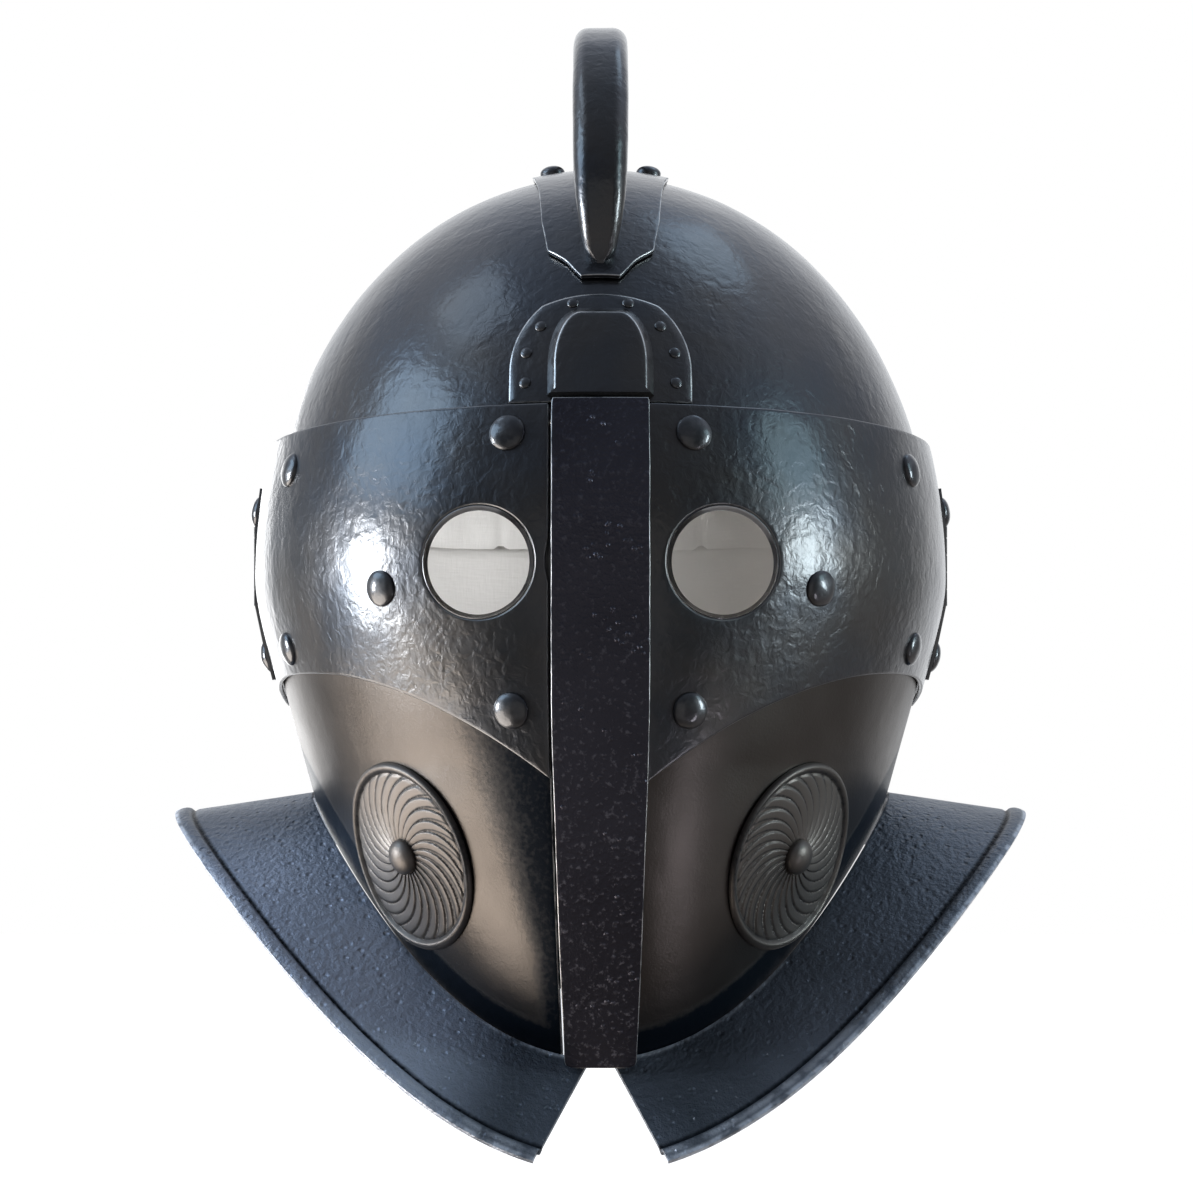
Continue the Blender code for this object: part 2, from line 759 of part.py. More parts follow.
def make_rosette(name, side, parent):
    azimuth = azimuth_at_x(side * ROSETTE_X, ROSETTE_Z)
    centre, direction = form_point(azimuth, ROSETTE_Z, ROSETTE_OUT), form_normal(azimuth, ROSETTE_Z)

    def place(u, v):
        turn = azimuth + math.radians(-26 + 52 * u)
        return form_point(turn, ROSETTE_Z - 0.036 + 0.072 * v, ROSETTE_OUT)

    disc = add_part(name, bent_grid(name, 8, 8, place), "satin_steel", parent)
    solidify(disc, ROSETTE_OUT - FACE_OUT - GAP - FACET_ALLOWANCE)
    shape = mesh_of(name + "_round", lambda bm: cylinder(bm, centre, direction,
                                                        ROSETTE_RADIUS, 0.05, 32))
    boolean(disc, add_cutter(name + "_round", shape), "INTERSECT")
    boss_hole = holes(name + "_hole", [(centre, direction)], BOSS[2])
    boolean(disc, boss_hole)
    return boss_hole, centre, direction


# ----------------------------------------------------------------- hinges

def leaf_outer(side, y, height, out, toward_axis):
    """A leaf's outer face: on the form, then out to the barrel where toward_axis reaches 1."""
    share = toward_axis * toward_axis * (3 - 2 * toward_axis)
    x = form_x(y, height, out)
    return Vector((side * (x + (AXIS_X + LEAF_MEETS_BARREL - x) * share), y, height))


def leaf_mesh(name, side, moving):
    """Half a hinge before its knuckles are cut: the leaf with a full-length barrel."""
    if moving:
        y_first, y_last, out = LEAF_FRONT_Y, AXIS_Y, LEAF_OUT
        bottom, top = LEAF_BOTTOM, LEAF_TOP
    else:
        y_first, y_last, out = AXIS_Y, LEAF_REAR_Y, LEAF_SHEET + GAP
        bottom, top = KNUCKLES_FROM, KNUCKLES_FROM + KNUCKLE_COUNT * KNUCKLE_LENGTH

    def place(u, v):
        u = u if side > 0 else 1 - u
        y = y_first + (y_last - y_first) * u
        height = bottom + (top - bottom) * v
        return leaf_outer(side, y, height, out, max(0.0, 1.0 - abs(y - AXIS_Y) / 0.008))

    return bent_grid(name, 7, 5 if moving else 2, place)


def knuckle_notches(side, moving):
    """Boxes that leave a leaf only its own knuckles."""
    y_low, y_high = (0.0052, 0.016) if moving else (0.006, 0.0168)
    x_low, x_high = sorted((side * 0.105, side * 0.13))

    def build(bm):
        for index in range(-1, KNUCKLE_COUNT + 1):
            if index % 2 == (0 if moving else 1) and 0 <= index < KNUCKLE_COUNT:
                continue
            start = KNUCKLES_FROM + index * KNUCKLE_LENGTH - (GAP / 2)
            end = start + KNUCKLE_LENGTH + GAP
            start = start - 0.03 if index < 0 else start
            end = end + 0.03 if index == KNUCKLE_COUNT else end
            if index in (-1, KNUCKLE_COUNT) and not moving:
                continue
            box(bm, (x_low, y_low, start), (x_high, y_high, end))
    return build


def make_leaf(name, side, moving, hole_cutter, parent):
    leaf = add_part(name, leaf_mesh(name, side, moving), "bare_steel", parent)
    solidify(leaf, LEAF_SHEET)
    length = KNUCKLE_COUNT * KNUCKLE_LENGTH
    centre = Vector((side * AXIS_X, AXIS_Y, KNUCKLES_FROM + length / 2))
    upright = Vector((0, 0, 1))
    barrel = mesh_of(name + "_barrel",
                     lambda bm: cylinder(bm, centre, upright, KNUCKLE_RADIUS, length, 16))
    boolean(leaf, add_cutter(name + "_barrel", barrel), "UNION", "MANIFOLD")
    notches = mesh_of(name + "_notches", knuckle_notches(side, moving))
    boolean(leaf, add_cutter(name + "_notches", notches), solver="MANIFOLD")
    bore = mesh_of(name + "_bore",
                   lambda bm: cylinder(bm, centre, upright, PIN_RADIUS + GAP, 0.08, 12))
    boolean(leaf, add_cutter(name + "_bore", bore), solver="MANIFOLD")
    boolean(leaf, hole_cutter, solver="MANIFOLD")
    return leaf


def make_pin(name, side):
    """A pin with a domed head at each end, through all the knuckles."""
    half = KNUCKLE_COUNT * KNUCKLE_LENGTH / 2 + GAP
    head = 0.0018
    outline = [(0.0, half + head), (0.7 * PIN_HEAD_RADIUS, half + 0.8 * head),
               (PIN_HEAD_RADIUS, half), (PIN_RADIUS, half)]
    outline += [(x, -z) for x, z in reversed(outline)]
    mesh = bpy.data.meshes.new(name)
    edges = [(index, index + 1) for index in range(len(outline) - 1)]
    mesh.from_pydata([(x, 0.0, z) for x, z in outline], edges, [])
    pin = add_part(name, mesh, "bare_steel")
    pin.location = (side * AXIS_X, AXIS_Y, KNUCKLES_FROM + half - GAP)
    turned(pin, 12)
    return pin


# ----------------------------------------------------------------- lining

def make_liner_cap():
    def lower_edge(azimuth):
        back = (1.0 - math.cos(azimuth)) / 2
        share = min(1.0, max(0.0, (back - 0.46) / 0.14))
        return LINER_BROW + (LINER_SEAM - LINER_BROW) * share * share * (3 - 2 * share)

    def place(u, v):
        azimuth = 2 * math.pi * u
        start = math.asin(lower_edge(azimuth) / (FORM_TOP + LINER_OUT))
        height = (FORM_TOP + LINER_OUT) * math.sin(start + (math.pi / 2 - start) * v)
        return form_point(azimuth, height, LINER_OUT)

    cap = add_part("liner_cap", bent_grid("liner_cap", 24, 6, place, weld=True), "quilted_linen")
    solidify(cap, LINER_THICKNESS)


def make_nape_pad():
    def place(u, v):
        azimuth = NAPE_PAD_FROM + (2 * math.pi - 2 * NAPE_PAD_FROM) * u
        top = LINER_SEAM - LINER_SEAM_GAP
        return form_point(azimuth, NAPE_PAD_BOTTOM + (top - NAPE_PAD_BOTTOM) * v, LINER_OUT)
    pad = add_part("nape_pad", bent_grid("nape_pad", 14, 3, place), "quilted_linen")
    solidify(pad, LINER_THICKNESS)


# ----------------------------------------------------------------- catch

def make_catch(left_hinge, right_hinge):
    """The right door's tongue lies between the jaws of the left door's fork."""
    inside = form_solid("inside_of_face", FACE_OUT - SHEET - GAP - FACET_ALLOWANCE, -0.16)
    middle = CATCH_TONGUE_HEIGHT / 2
    low, high = CATCH_Z - middle, CATCH_Z + middle

    outline = [(-0.033, -0.125), (-0.025, -0.125), (-0.025, -0.101), (-0.004, -0.101),
               (-0.004, -0.099), (-0.033, -0.099)]
    shape = outline_solid("catch_tongue_shape", outline, middle,
                          Matrix.Translation((0, 0, CATCH_Z)) @ FLAT)
    tongue = add_part("catch_tongue", shape.data, "bare_steel", right_hinge)
    tongue.location = tongue.location + Vector((0, 0, CATCH_Z))
    bpy.data.objects.remove(shape)
    boolean(tongue, inside, "INTERSECT")

    jaw_low, jaw_high = low - GAP - CATCH_JAW_HEIGHT, high + GAP + CATCH_JAW_HEIGHT
    outline = [(0.006, jaw_low), (0.006, jaw_high), (-0.012, jaw_high), (-0.012, high + GAP),
               (-0.002, high + GAP), (-0.002, low - GAP), (-0.012, low - GAP), (-0.012, jaw_low)]
    spring = outline_solid("catch_fork_shape", outline, 0.002,
                           Matrix.Translation((0, -0.100, 0)) @ FACING_FRONT)
    mesh = spring.data
    mesh.transform(spring.matrix_world)
    bpy.data.objects.remove(spring)
    fork = add_part("catch_fork", mesh, "bare_steel", left_hinge)
    foot = mesh_of("catch_fork_foot",
                   lambda bm: box(bm, (0.0005, -0.125, jaw_low), (0.006, -0.1005, jaw_high)))
    boolean(fork, add_cutter("catch_fork_foot", foot), "UNION")
    boolean(fork, inside, "INTERSECT")


# ----------------------------------------------------------------- assembly

def hinge_empty(name, side):
    empty = bpy.data.objects.new(name, None)
    empty.location = (side * AXIS_X, AXIS_Y, 0.0)
    parts_collection.objects.link(empty)
    return empty


def make_door(label, side, hinge):
    """One half of the face, with everything that turns with it."""
    visor_spots = places_on_form(VISOR_RIVETS, side)
    hinge_spots = [(side * (math.pi / 2 + math.asin(HINGE_RIVETS_Y / FORM_HALF_WIDTH)), z)
                   for z in HINGE_RIVETS_Z]
    visor_seats = seats(visor_spots, VISOR_OUT)
    hinge_seats = seats(hinge_spots, LEAF_OUT)
    rivet_holes = holes(label + "_visor_rivet_holes", visor_seats + hinge_seats, VISOR_RIVET[2])

    boss_hole, boss_point, boss_direction = make_rosette(label + "_rosette", side, hinge)
    eye_outer = eye_cutter(label + "_eye_outer", side, EYE_RADIUS_VISOR)
    eye_inner = eye_cutter(label + "_eye_inner", side, EYE_RADIUS_FACE)
    make_face_plate(label + "_face_plate", side, [eye_inner, rivet_holes, boss_hole], hinge)
    make_visor_plate(label + "_visor_plate", side, [eye_outer, rivet_holes], hinge)
    make_collar(label + "_collar", side, hinge)
    make_leaf(label + "_hinge_moving_leaf", side, True, rivet_holes, hinge)

    inner_face = FACE_OUT - SHEET
    plain = rivet_profile(label + "_visor_rivet", VISOR_RIVET, grip(VISOR_OUT, inner_face))
    longer = rivet_profile(label + "_hinge_rivet", VISOR_RIVET, grip(LEAF_OUT, inner_face))
    meshes = [plain] * len(visor_seats) + [longer] * len(hinge_seats)
    for number, (mesh, seat) in enumerate(zip(meshes, visor_seats + hinge_seats), 1):
        rivet(f"{label}_visor_rivet_{number}", mesh, *seat, hinge)
    boss = rivet_profile(label + "_rosette_boss", BOSS, grip(ROSETTE_OUT, inner_face))
    rivet(label + "_rosette_boss", boss, boss_point, boss_direction, hinge, 12)


def make_fixed_hinge_half(label, side):
    """The leaf on the bowl, its two rivets and the pin."""
    azimuth = side * (math.pi / 2 + math.atan2(LEAF_RIVETS_Y, FORM_HALF_WIDTH))
    leaf_seats = seats([(azimuth, z) for z in LEAF_RIVETS_Z], LEAF_SHEET + GAP)
    leaf_holes = holes(label + "_leaf_rivet_holes", leaf_seats, LEAF_RIVET[2])
    make_leaf(label + "_hinge_fixed_leaf", side, False, leaf_holes, None)
    make_pin(label + "_hinge_pin", side)
    mesh = rivet_profile(label + "_leaf_rivet", LEAF_RIVET, grip(LEAF_SHEET + GAP, SKULL_OUT - SHEET))
    for number, seat in enumerate(leaf_seats, 1):
        rivet(f"{label}_leaf_rivet_{number}", mesh, *seat, steps=8)
    return leaf_seats


def crest_rivet_seats():
    corners = [(x, y) for y in (-CREST_RIVET_Y, CREST_RIVET_Y)
               for x in (CREST_RIVET_X, -CREST_RIVET_X)]
    made = []
    for x, y in corners:
        azimuth = math.atan2(x, -y)
        height = dome_height(x, y, SADDLE_OUT)
        made.append((Vector((x, y, height)), form_normal(azimuth, height)))
    return made


def make_riveted(name, mesh, places, steps):
    for number, seat in enumerate(places, 1):
        rivet(f"{name}_{number}", mesh, *seat, steps=steps)


def make_bowl_assembly():
    """The skull bowl and all that is fixed on it."""
    leaf_seats = make_fixed_hinge_half("left", 1) + make_fixed_hinge_half("right", -1)
    crest_seats = crest_rivet_seats()
    brow_seats = seats(places_on_form(BROW_RIVETS, 1) + places_on_form(BROW_RIVETS, -1), BROW_OUT)
    neck_spots = [(azimuth, skull_bottom(azimuth) + GUARD_LIP / 2)
                  for azimuth in NECK_RIVETS_AZIMUTH]
    neck_seats = seats(neck_spots, BROW_OUT)

    crest_holes = holes("crest_rivet_holes", crest_seats, CREST_RIVET[2])
    brow_holes = holes("brow_rivet_holes", brow_seats, BROW_RIVET[2], 0.01, 6)
    neck_holes = holes("neck_rivet_holes", neck_seats, LEAF_RIVET[2])

    def all_holes(bm):
        for places, head, sides in ((leaf_seats, LEAF_RIVET, 10), (crest_seats, CREST_RIVET, 10),
                                    (brow_seats, BROW_RIVET, 6), (neck_seats, LEAF_RIVET, 10)):
            for point, direction in places:
                cylinder(bm, point, direction, head[2] + GAP, 0.01, sides)

    make_skull(add_cutter("bowl_rivet_holes", mesh_of("bowl_rivet_holes", all_holes)))
    make_neck_guard(neck_holes)
    brow = brow_patch("brow_plate", brow_outline(), BROW_OUT, BROW_OUT - GAP, "hammered_steel")
    boolean(brow, brow_holes)
    brow_patch("brow_tongue", tongue_outline(), TONGUE_OUT, TONGUE_OUT - BROW_OUT - GAP,
               "grained_steel")
    make_saddle(crest_holes)
    make_crest()

    make_riveted("crest_rivet", rivet_profile("crest_rivet", CREST_RIVET,
                                              grip(SADDLE_OUT, SKULL_OUT - SHEET)), crest_seats, 8)
    make_riveted("brow_rivet", rivet_profile("brow_rivet", BROW_RIVET,
                                             grip(BROW_OUT, SKULL_OUT - SHEET)), brow_seats, 6)
    make_riveted("neck_rivet", rivet_profile("neck_rivet", LEAF_RIVET,
                                             grip(BROW_OUT, SKULL_OUT - SHEET)), neck_seats, 8)
    make_liner_cap()
    make_nape_pad()


clear_scene()
parts_collection = new_collection("closed_helmet")
cutters_collection = new_collection("cutters")

make_bowl_assembly()
left_hinge = hinge_empty("left_hinge_axis", 1)
right_hinge = hinge_empty("right_hinge_axis", -1)
make_door("left", 1, left_hinge)
make_door("right", -1, right_hinge)
make_bar(left_hinge)
make_catch(left_hinge, right_hinge)
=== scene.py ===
"""Looks of the closed gladiator-style helmet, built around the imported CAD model.

Metres, +Z up. The wearer faces -Y, so the wearer's left is +X. Every plate follows one form,
the outer surface of the skull bowl, at its own distance outside it.
"""

from math import acos, asin, atan2, copysign, cos, degrees, exp, hypot, pi, radians, sin, sqrt

import bmesh
import bpy
import numpy as np
from mathutils import Matrix, Vector, noise


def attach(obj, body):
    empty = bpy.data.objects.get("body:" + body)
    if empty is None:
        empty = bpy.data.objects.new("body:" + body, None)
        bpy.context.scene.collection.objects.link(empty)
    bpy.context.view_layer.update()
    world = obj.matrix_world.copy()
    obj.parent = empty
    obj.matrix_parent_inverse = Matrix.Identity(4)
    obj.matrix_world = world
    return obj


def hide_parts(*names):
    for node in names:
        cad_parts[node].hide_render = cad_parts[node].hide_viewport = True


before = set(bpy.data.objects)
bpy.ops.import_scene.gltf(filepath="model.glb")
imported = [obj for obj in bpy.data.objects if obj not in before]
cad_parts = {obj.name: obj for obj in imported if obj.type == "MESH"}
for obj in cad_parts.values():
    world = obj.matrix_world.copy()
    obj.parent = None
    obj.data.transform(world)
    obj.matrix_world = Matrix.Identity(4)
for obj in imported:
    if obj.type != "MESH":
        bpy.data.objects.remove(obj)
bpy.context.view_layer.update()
SIDES = (("left", 1), ("right", -1))

# --- the form and the plates on it, as in the CAD model ---
FORM_HALF_WIDTH = 0.1145
FORM_FRONT = 0.134
FORM_BACK = 0.127
FORM_TOP = 0.139
CHEEK_SLOPE = 0.28
CHEEK_ROUND = 0.012
CHIN_DROP = 0.148
CHIN_SETBACK = 0.034
NAPE_DROP = 0.09
NAPE_SETBACK = 0.008

SKULL_OUT = -0.0003
SHEET = 0.0015
FACE_OUT = 0.0019
VISOR_OUT = 0.0040
LEAF_OUT = 0.0056
LEAF_SHEET = 0.0012
STRAP_THINNED = 0.0006
BAR_OUT = 0.0083
BAR_THICKNESS = 0.004
BROW_OUT = 0.0016
TONGUE_OUT = 0.0062
SADDLE_OUT = 0.0018
ROSETTE_OUT = 0.0043
LINER_OUT = -0.0042
LINER_THICKNESS = 0.006
LINER_SEAM = 0.011
LINER_BROW = 0.050
NAPE_PAD_BOTTOM = -0.068
NAPE_PAD_FROM = radians(99)
QUILT_GORES = 18
QUILT_ROW = 0.050
QUILT_FIRST = -0.013
TAPE_OVER_SEAM = 0.0075
TAPE_SEWN_IN = 0.0010
STITCH_REACH = 0.0035
SWELL_LIMIT = 0.0016
SWELL_FRAMES = 20
PAD_OUT = LINER_OUT - 0.0006
PAD_THICKNESS = LINER_THICKNESS - 0.0012
PAD_VOXEL = 0.003
GAP = 0.0003

VISOR_TOP = 0.045
VISOR_TOP_RISE = 0.003
VISOR_EDGE = -0.032
VISOR_NOSE_DROP = 0.044
VISOR_TEMPLE_DIP = 0.010
VISOR_CALM = radians(51.5)
JAW_FRONT = -0.150
JAW_RISE = 0.077
SKULL_NAPE = -0.087
SKULL_NAPE_RISE = 0.014
DOOR_REAR = radians(92.5)
SKULL_EDGE_Y = -0.005
SKULL_BROW = 0.0402
SKULL_BROW_SLOPE = 0.0045 / 0.195

BAR_TOP = 0.049
BAR_BOTTOM = -0.152
BAR_HALF_WIDTH = 0.0144
BAR_TAPER = 0.0034
BAR_STRAIGHT_BELOW = -0.120
SEAM_GAP = 0.0005

EYE_X = 0.0363
EYE_Z = 0.0008
EYE_RADIUS = 0.0170
EYE_CLEAR_RADIUS = 0.0154

COLLAR_HALF_WIDTH = 0.147
COLLAR_FRONT = 0.134
COLLAR_TIP = -0.179
COLLAR_RISE = 0.099
COLLAR_SHEET = 0.0018
COLLAR_SPLIT_INNER = 0.0034
COLLAR_INNER_FRONT = 0.102
COLLAR_SPLIT_OUTER = 0.0200
GUARD_FROM = radians(100)
GUARD_WIDTH = 0.042
GUARD_END_WIDTH = 0.008
GUARD_LIP = 0.012
GUARD_FLARED = 0.75      # the share of the guard's rows that stand out from the bowl
GUARD_BLOOM = 0.12

ROSETTE_X = 0.059
ROSETTE_Z = -0.089
ROSETTE_RADIUS = 0.0305
ROSETTE_FLUTES = 26
BOSS_RADIUS = 0.0056

VISOR_RIVETS = [(0.0267, 0.0390), (0.0255, -0.0430), (0.0644, -0.0064),
                (0.0960, 0.0330), (0.0975, -0.0240)]
HINGE_RIVETS_Y = -0.003
HINGE_RIVETS_Z = [0.024, -0.026]
LEAF_RIVETS_Y = 0.027
LEAF_RIVETS_Z = [0.016, -0.002]
NECK_RIVETS_AZIMUTH = [radians(angle) for angle in (130, 180, 230)]
RIVET_SINK = 0.0006
BROW_RIVETS = [(0.0222, 0.0545), (0.0219, 0.0640), (0.0177, 0.0725), (0.0082, 0.0800)]

BROW_BOTTOM = 0.0484
BROW_HALF_WIDTH = 0.0273
BROW_SHOULDER = 0.058
BROW_SHOULDER_RADIUS = 0.0284
BROW_CORNER = 0.0177
BROW_TOP = 0.0832
BROW_TOP_RADIUS = 0.0421
TONGUE_BOTTOM = 0.0503
TONGUE_TOP = 0.0785
TONGUE_HALF_WIDTH = 0.0159
TONGUE_FLAT = 0.0058
TONGUE_SHOULDER = 0.060

SADDLE_SHEET = 0.0015
SADDLE_STATIONS = [(0.0, 0.0230), (0.026, 0.0230), (0.060, 0.0200), (0.082, 0.0186),
                   (0.0945, 0.0166), (0.0990, 0.0110), (0.103, 0.0076), (0.1045, 0.0060)]
CREST_RIVET_X = 0.0163
CREST_RIVET_Y = 0.018
CREST_HALF_WIDTH = 0.0089
CREST_HALF_DEPTH = 0.0075
CREST_CORNER = 0.0050
CREST_FOOT_TOP = 0.0992
CREST_FOOT_ROUND = 0.0048
CREST_LINE = [(-0.0885, 0.074, 0.10), (-0.0962, 0.090, 0.30), (-0.0990, 0.106, 0.88),
              (-0.0985, 0.130, 1.0), (-0.082, 0.158, 1.0), (-0.050, 0.1745, 1.0), (-0.015, 0.1773, 1.0),
              (0.022, 0.1700, 1.0), (0.052, 0.152, 1.0), (0.068, 0.130, 0.9),
              (0.072, 0.098, 0.7)]


# ------------- the form

def section(height, out):
    """Half width, front depth, back depth and front exponent of the form's level section."""
    if height >= 0.0:
        rise = min(1.0, height / (FORM_TOP + out))
        width_share = sqrt(1.0 - rise ** 2.1)
        depth_share = sqrt(1.0 - rise ** 2)
        return ((FORM_HALF_WIDTH + out) * width_share, (FORM_FRONT + out) * depth_share,
                (FORM_BACK + out) * depth_share, 2.0)
    drop = -height
    close_in = CHEEK_SLOPE * (hypot(drop, CHEEK_ROUND) - CHEEK_ROUND)
    half_width = FORM_HALF_WIDTH + out - close_in
    front = FORM_FRONT + out - CHIN_SETBACK * (drop / CHIN_DROP) ** 2.2
    back = FORM_BACK + out - NAPE_SETBACK * (drop / NAPE_DROP) ** 1.5
    return half_width, front, back, 2.0 - 0.2 * min(1.0, drop / 0.06)


def form_point(azimuth, height, out=0.0):
    """The point of the form in a direction and at a height, moved out by a distance."""
    half_width, front, back, power = section(height, out)
    if half_width < 1e-6:
        return Vector((0.0, 0.0, height))
    across, ahead = sin(azimuth), cos(azimuth)
    depth = front if ahead >= 0.0 else back
    power = power if ahead >= 0.0 else 2.0
    reach = (abs(across / half_width) ** power + abs(ahead / depth) ** power) ** (-1.0 / power)
    return Vector((reach * across, -reach * ahead, height))


def form_normal(azimuth, height):
    """The form's outward direction."""
    step = 0.001
    along = form_point(azimuth + step, height) - form_point(azimuth - step, height)
    up = form_point(azimuth, height + step) - form_point(azimuth, height - step)
    return along.cross(up).normalized()


def azimuth_at_x(x, height):
    """The azimuth of the form's front where it is x from the middle."""
    half_width, front, _, power = section(height, 0.0)
    depth = front * (1.0 - abs(x / half_width) ** power) ** (1.0 / power)
    return atan2(x, depth)


def front_point(x, height, out):
    """The point on the front of the form that is straight behind (x, height)."""
    half_width, front, _, power = section(height, out)
    depth = front * (1.0 - min(1.0, abs(x / half_width)) ** power) ** (1.0 / power)
    return Vector((x, -depth, height))


def dome_height(x, y, out):
    """The height of the dome over a point in plan, found by halving."""
    low, high = 0.0, FORM_TOP + out
    for _ in range(24):
        middle = 0.5 * (low + high)
        half_width, front, back, _ = section(middle, out)
        depth = front if y < 0.0 else back
        inside = half_width > 0.0 and (x / half_width) ** 2 + (y / depth) ** 2 < 1.0
        low, high = (middle, high) if inside else (low, middle)
    return low


def visor_top(azimuth):
    return VISOR_TOP + VISOR_TOP_RISE * cos(azimuth) ** 2


def visor_bottom(azimuth):
    turned_by = abs(azimuth)
    nose = max(0.0, 1.0 - turned_by / VISOR_CALM) ** 2.5
    temple = max(0.0, (turned_by - VISOR_CALM) / (pi / 2 - VISOR_CALM)) ** 2
    return VISOR_EDGE - VISOR_NOSE_DROP * nose - VISOR_TEMPLE_DIP * temple


def jaw(azimuth):
    return JAW_FRONT + JAW_RISE * sin(azimuth) ** 2


def skull_bottom(azimuth):
    return SKULL_NAPE + SKULL_NAPE_RISE * sin(azimuth) ** 2


def bar_half_width(height):
    below = min(1.0, max(0.0, (-0.040 - height) / 0.110))
    return BAR_HALF_WIDTH - BAR_TAPER * below ** 1.2


def bar_front(height):
    """How far forward the centre bar's outer face is."""
    height_on_form = max(height, BAR_STRAIGHT_BELOW)
    reach = section(height_on_form, BAR_OUT)[1]
    slope = (section(BAR_STRAIGHT_BELOW + 0.001, 0.0)[1] - section(BAR_STRAIGHT_BELOW, 0.0)[1]) / 0.001
    return reach - slope * (height_on_form - height)


def seam_x(side, height):
    """Where a door's plates end at the seam along the bar's right-hand edge."""
    inset = -GAP if side > 0 else SEAM_GAP
    return -(bar_half_width(height) + inset)


def door_span(side, height):
    """The azimuths between which a door's plates lie, in rising order."""
    seam = azimuth_at_x(seam_x(side, height), height)
    return (seam, DOOR_REAR) if side > 0 else (-DOOR_REAR, seam)


# ------------- surface relief

def lumps(point, size):
    """Smooth noise, from -1 to 1, with lumps about as wide as size."""
    return noise.noise(point / size)


def hammered(point):
    """Depth of the shallow dents left by raising the sheet with a hammer."""
    return (0.00011 * lumps(point, 0.021) + 0.00005 * lumps(point + Vector((3, 1, 2)), 0.0085)
            + 0.00002 * lumps(point + Vector((7, 5, 3)), 0.0042))


def hand_planished(point):
    """The much flatter surface of a plate smoothed after raising."""
    return 0.00008 * lumps(point, 0.026) + 0.00002 * lumps(point + Vector((3, 1, 2)), 0.010)


def forged(point):
    """The surface of a bar drawn out under the hammer."""
    return 0.00012 * lumps(point, 0.014) + 0.00006 * lumps(point + Vector((3, 1, 2)), 0.005)


def edge_waver(along, size=0.022, depth=0.00022):
    """How far a hand-cut edge strays from its line."""
    return depth * noise.noise(Vector((along / size, 0.7, 0.3)))


def smooth_step(value):
    value = min(1.0, max(0.0, value))
    return value * value * (3.0 - 2.0 * value)


# ------------- mesh tools

def sheet(columns, rows, place, closed=False):
    """A bmesh of quads whose corners are place(u, v), with u and v from 0 to 1."""
    bm = bmesh.new()
    around = columns if closed else columns + 1
    grid = [[bm.verts.new(place(column / columns, row / rows)) for column in range(around)]
            for row in range(rows + 1)]
    for lower, upper in zip(grid, grid[1:]):
        for column in range(columns):
            following = (column + 1) % around
            bm.faces.new((lower[column], lower[following], upper[following], upper[column]))
    bm.normal_update()
    return bm


def push_out(bm, relief):
    """Move each vertex along its normal by relief(point)."""
    bm.normal_update()
    moves = [(vertex, vertex.normal * relief(vertex.co)) for vertex in bm.verts]
    for vertex, move in moves:
        vertex.co += move
    bm.normal_update()


def placed(name, data):
    """An object that holds the data, in the scene."""
    made = bpy.data.objects.new(name, data)
    bpy.context.scene.collection.objects.link(made)
    return made


def mesh_of(name, bm):
    """The bmesh as a mesh; the bmesh is used up."""
    mesh = bpy.data.meshes.new(name)
    bm.to_mesh(mesh)
    bm.free()
    return mesh


def piece(name, bm, body, nodes, finish, worn=None):
    """A finished piece: its mesh, the body it rides on and the CAD nodes that it stands for."""
    made = placed(name, mesh_of(name, bm))
    made.data.materials.append(finish)
    made.data.materials.append(worn or finish)
    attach(made, body)
    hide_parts(*nodes)
    return made


def paint(bm, name, share):
    """Store share(point) on the mesh under a name, for a material to read."""
    layer = bm.verts.layers.float.new(name)
    for vertex in bm.verts:
        vertex[layer] = share(vertex.co)


def evaluated_mesh(made):
    """A mesh of the object as its modifiers, or its curve's settings, shape it."""
    bpy.context.view_layer.update()
    evaluated = made.evaluated_get(bpy.context.evaluated_depsgraph_get())
    return bpy.data.meshes.new_from_object(evaluated)


def apply_modifiers(made):
    """Turn the piece's modifiers into its mesh."""
    mesh = evaluated_mesh(made)
    made.modifiers.clear()
    old = made.data
    made.data = mesh
    mesh.name = made.name
    bpy.data.meshes.remove(old)


def smooth_but(made, angle):
    """Shade the piece smooth, but for its edges sharper than an angle."""
    made.data.shade_smooth()
    made.data.set_sharp_from_angle(angle=radians(angle))


def thicken(made, thickness, edge=0.00035, segments=2, angle=40):
    """Give a sheet its thickness, inwards, and rounded, worn edges."""
    modifier = made.modifiers.new("thickness", "SOLIDIFY")
    modifier.thickness = thickness
    modifier.offset = -1.0
    soften(made, edge, segments, angle)


def soften(made, edge, segments=2, angle=40):
    """Break the edges sharper than an angle, in the piece's second material."""
    modifier = made.modifiers.new("edges", "BEVEL")
    modifier.width = edge
    modifier.segments = segments
    modifier.limit_method = "ANGLE"
    modifier.angle_limit = radians(angle)
    modifier.material = 1
    apply_modifiers(made)
    made.data.shade_smooth()


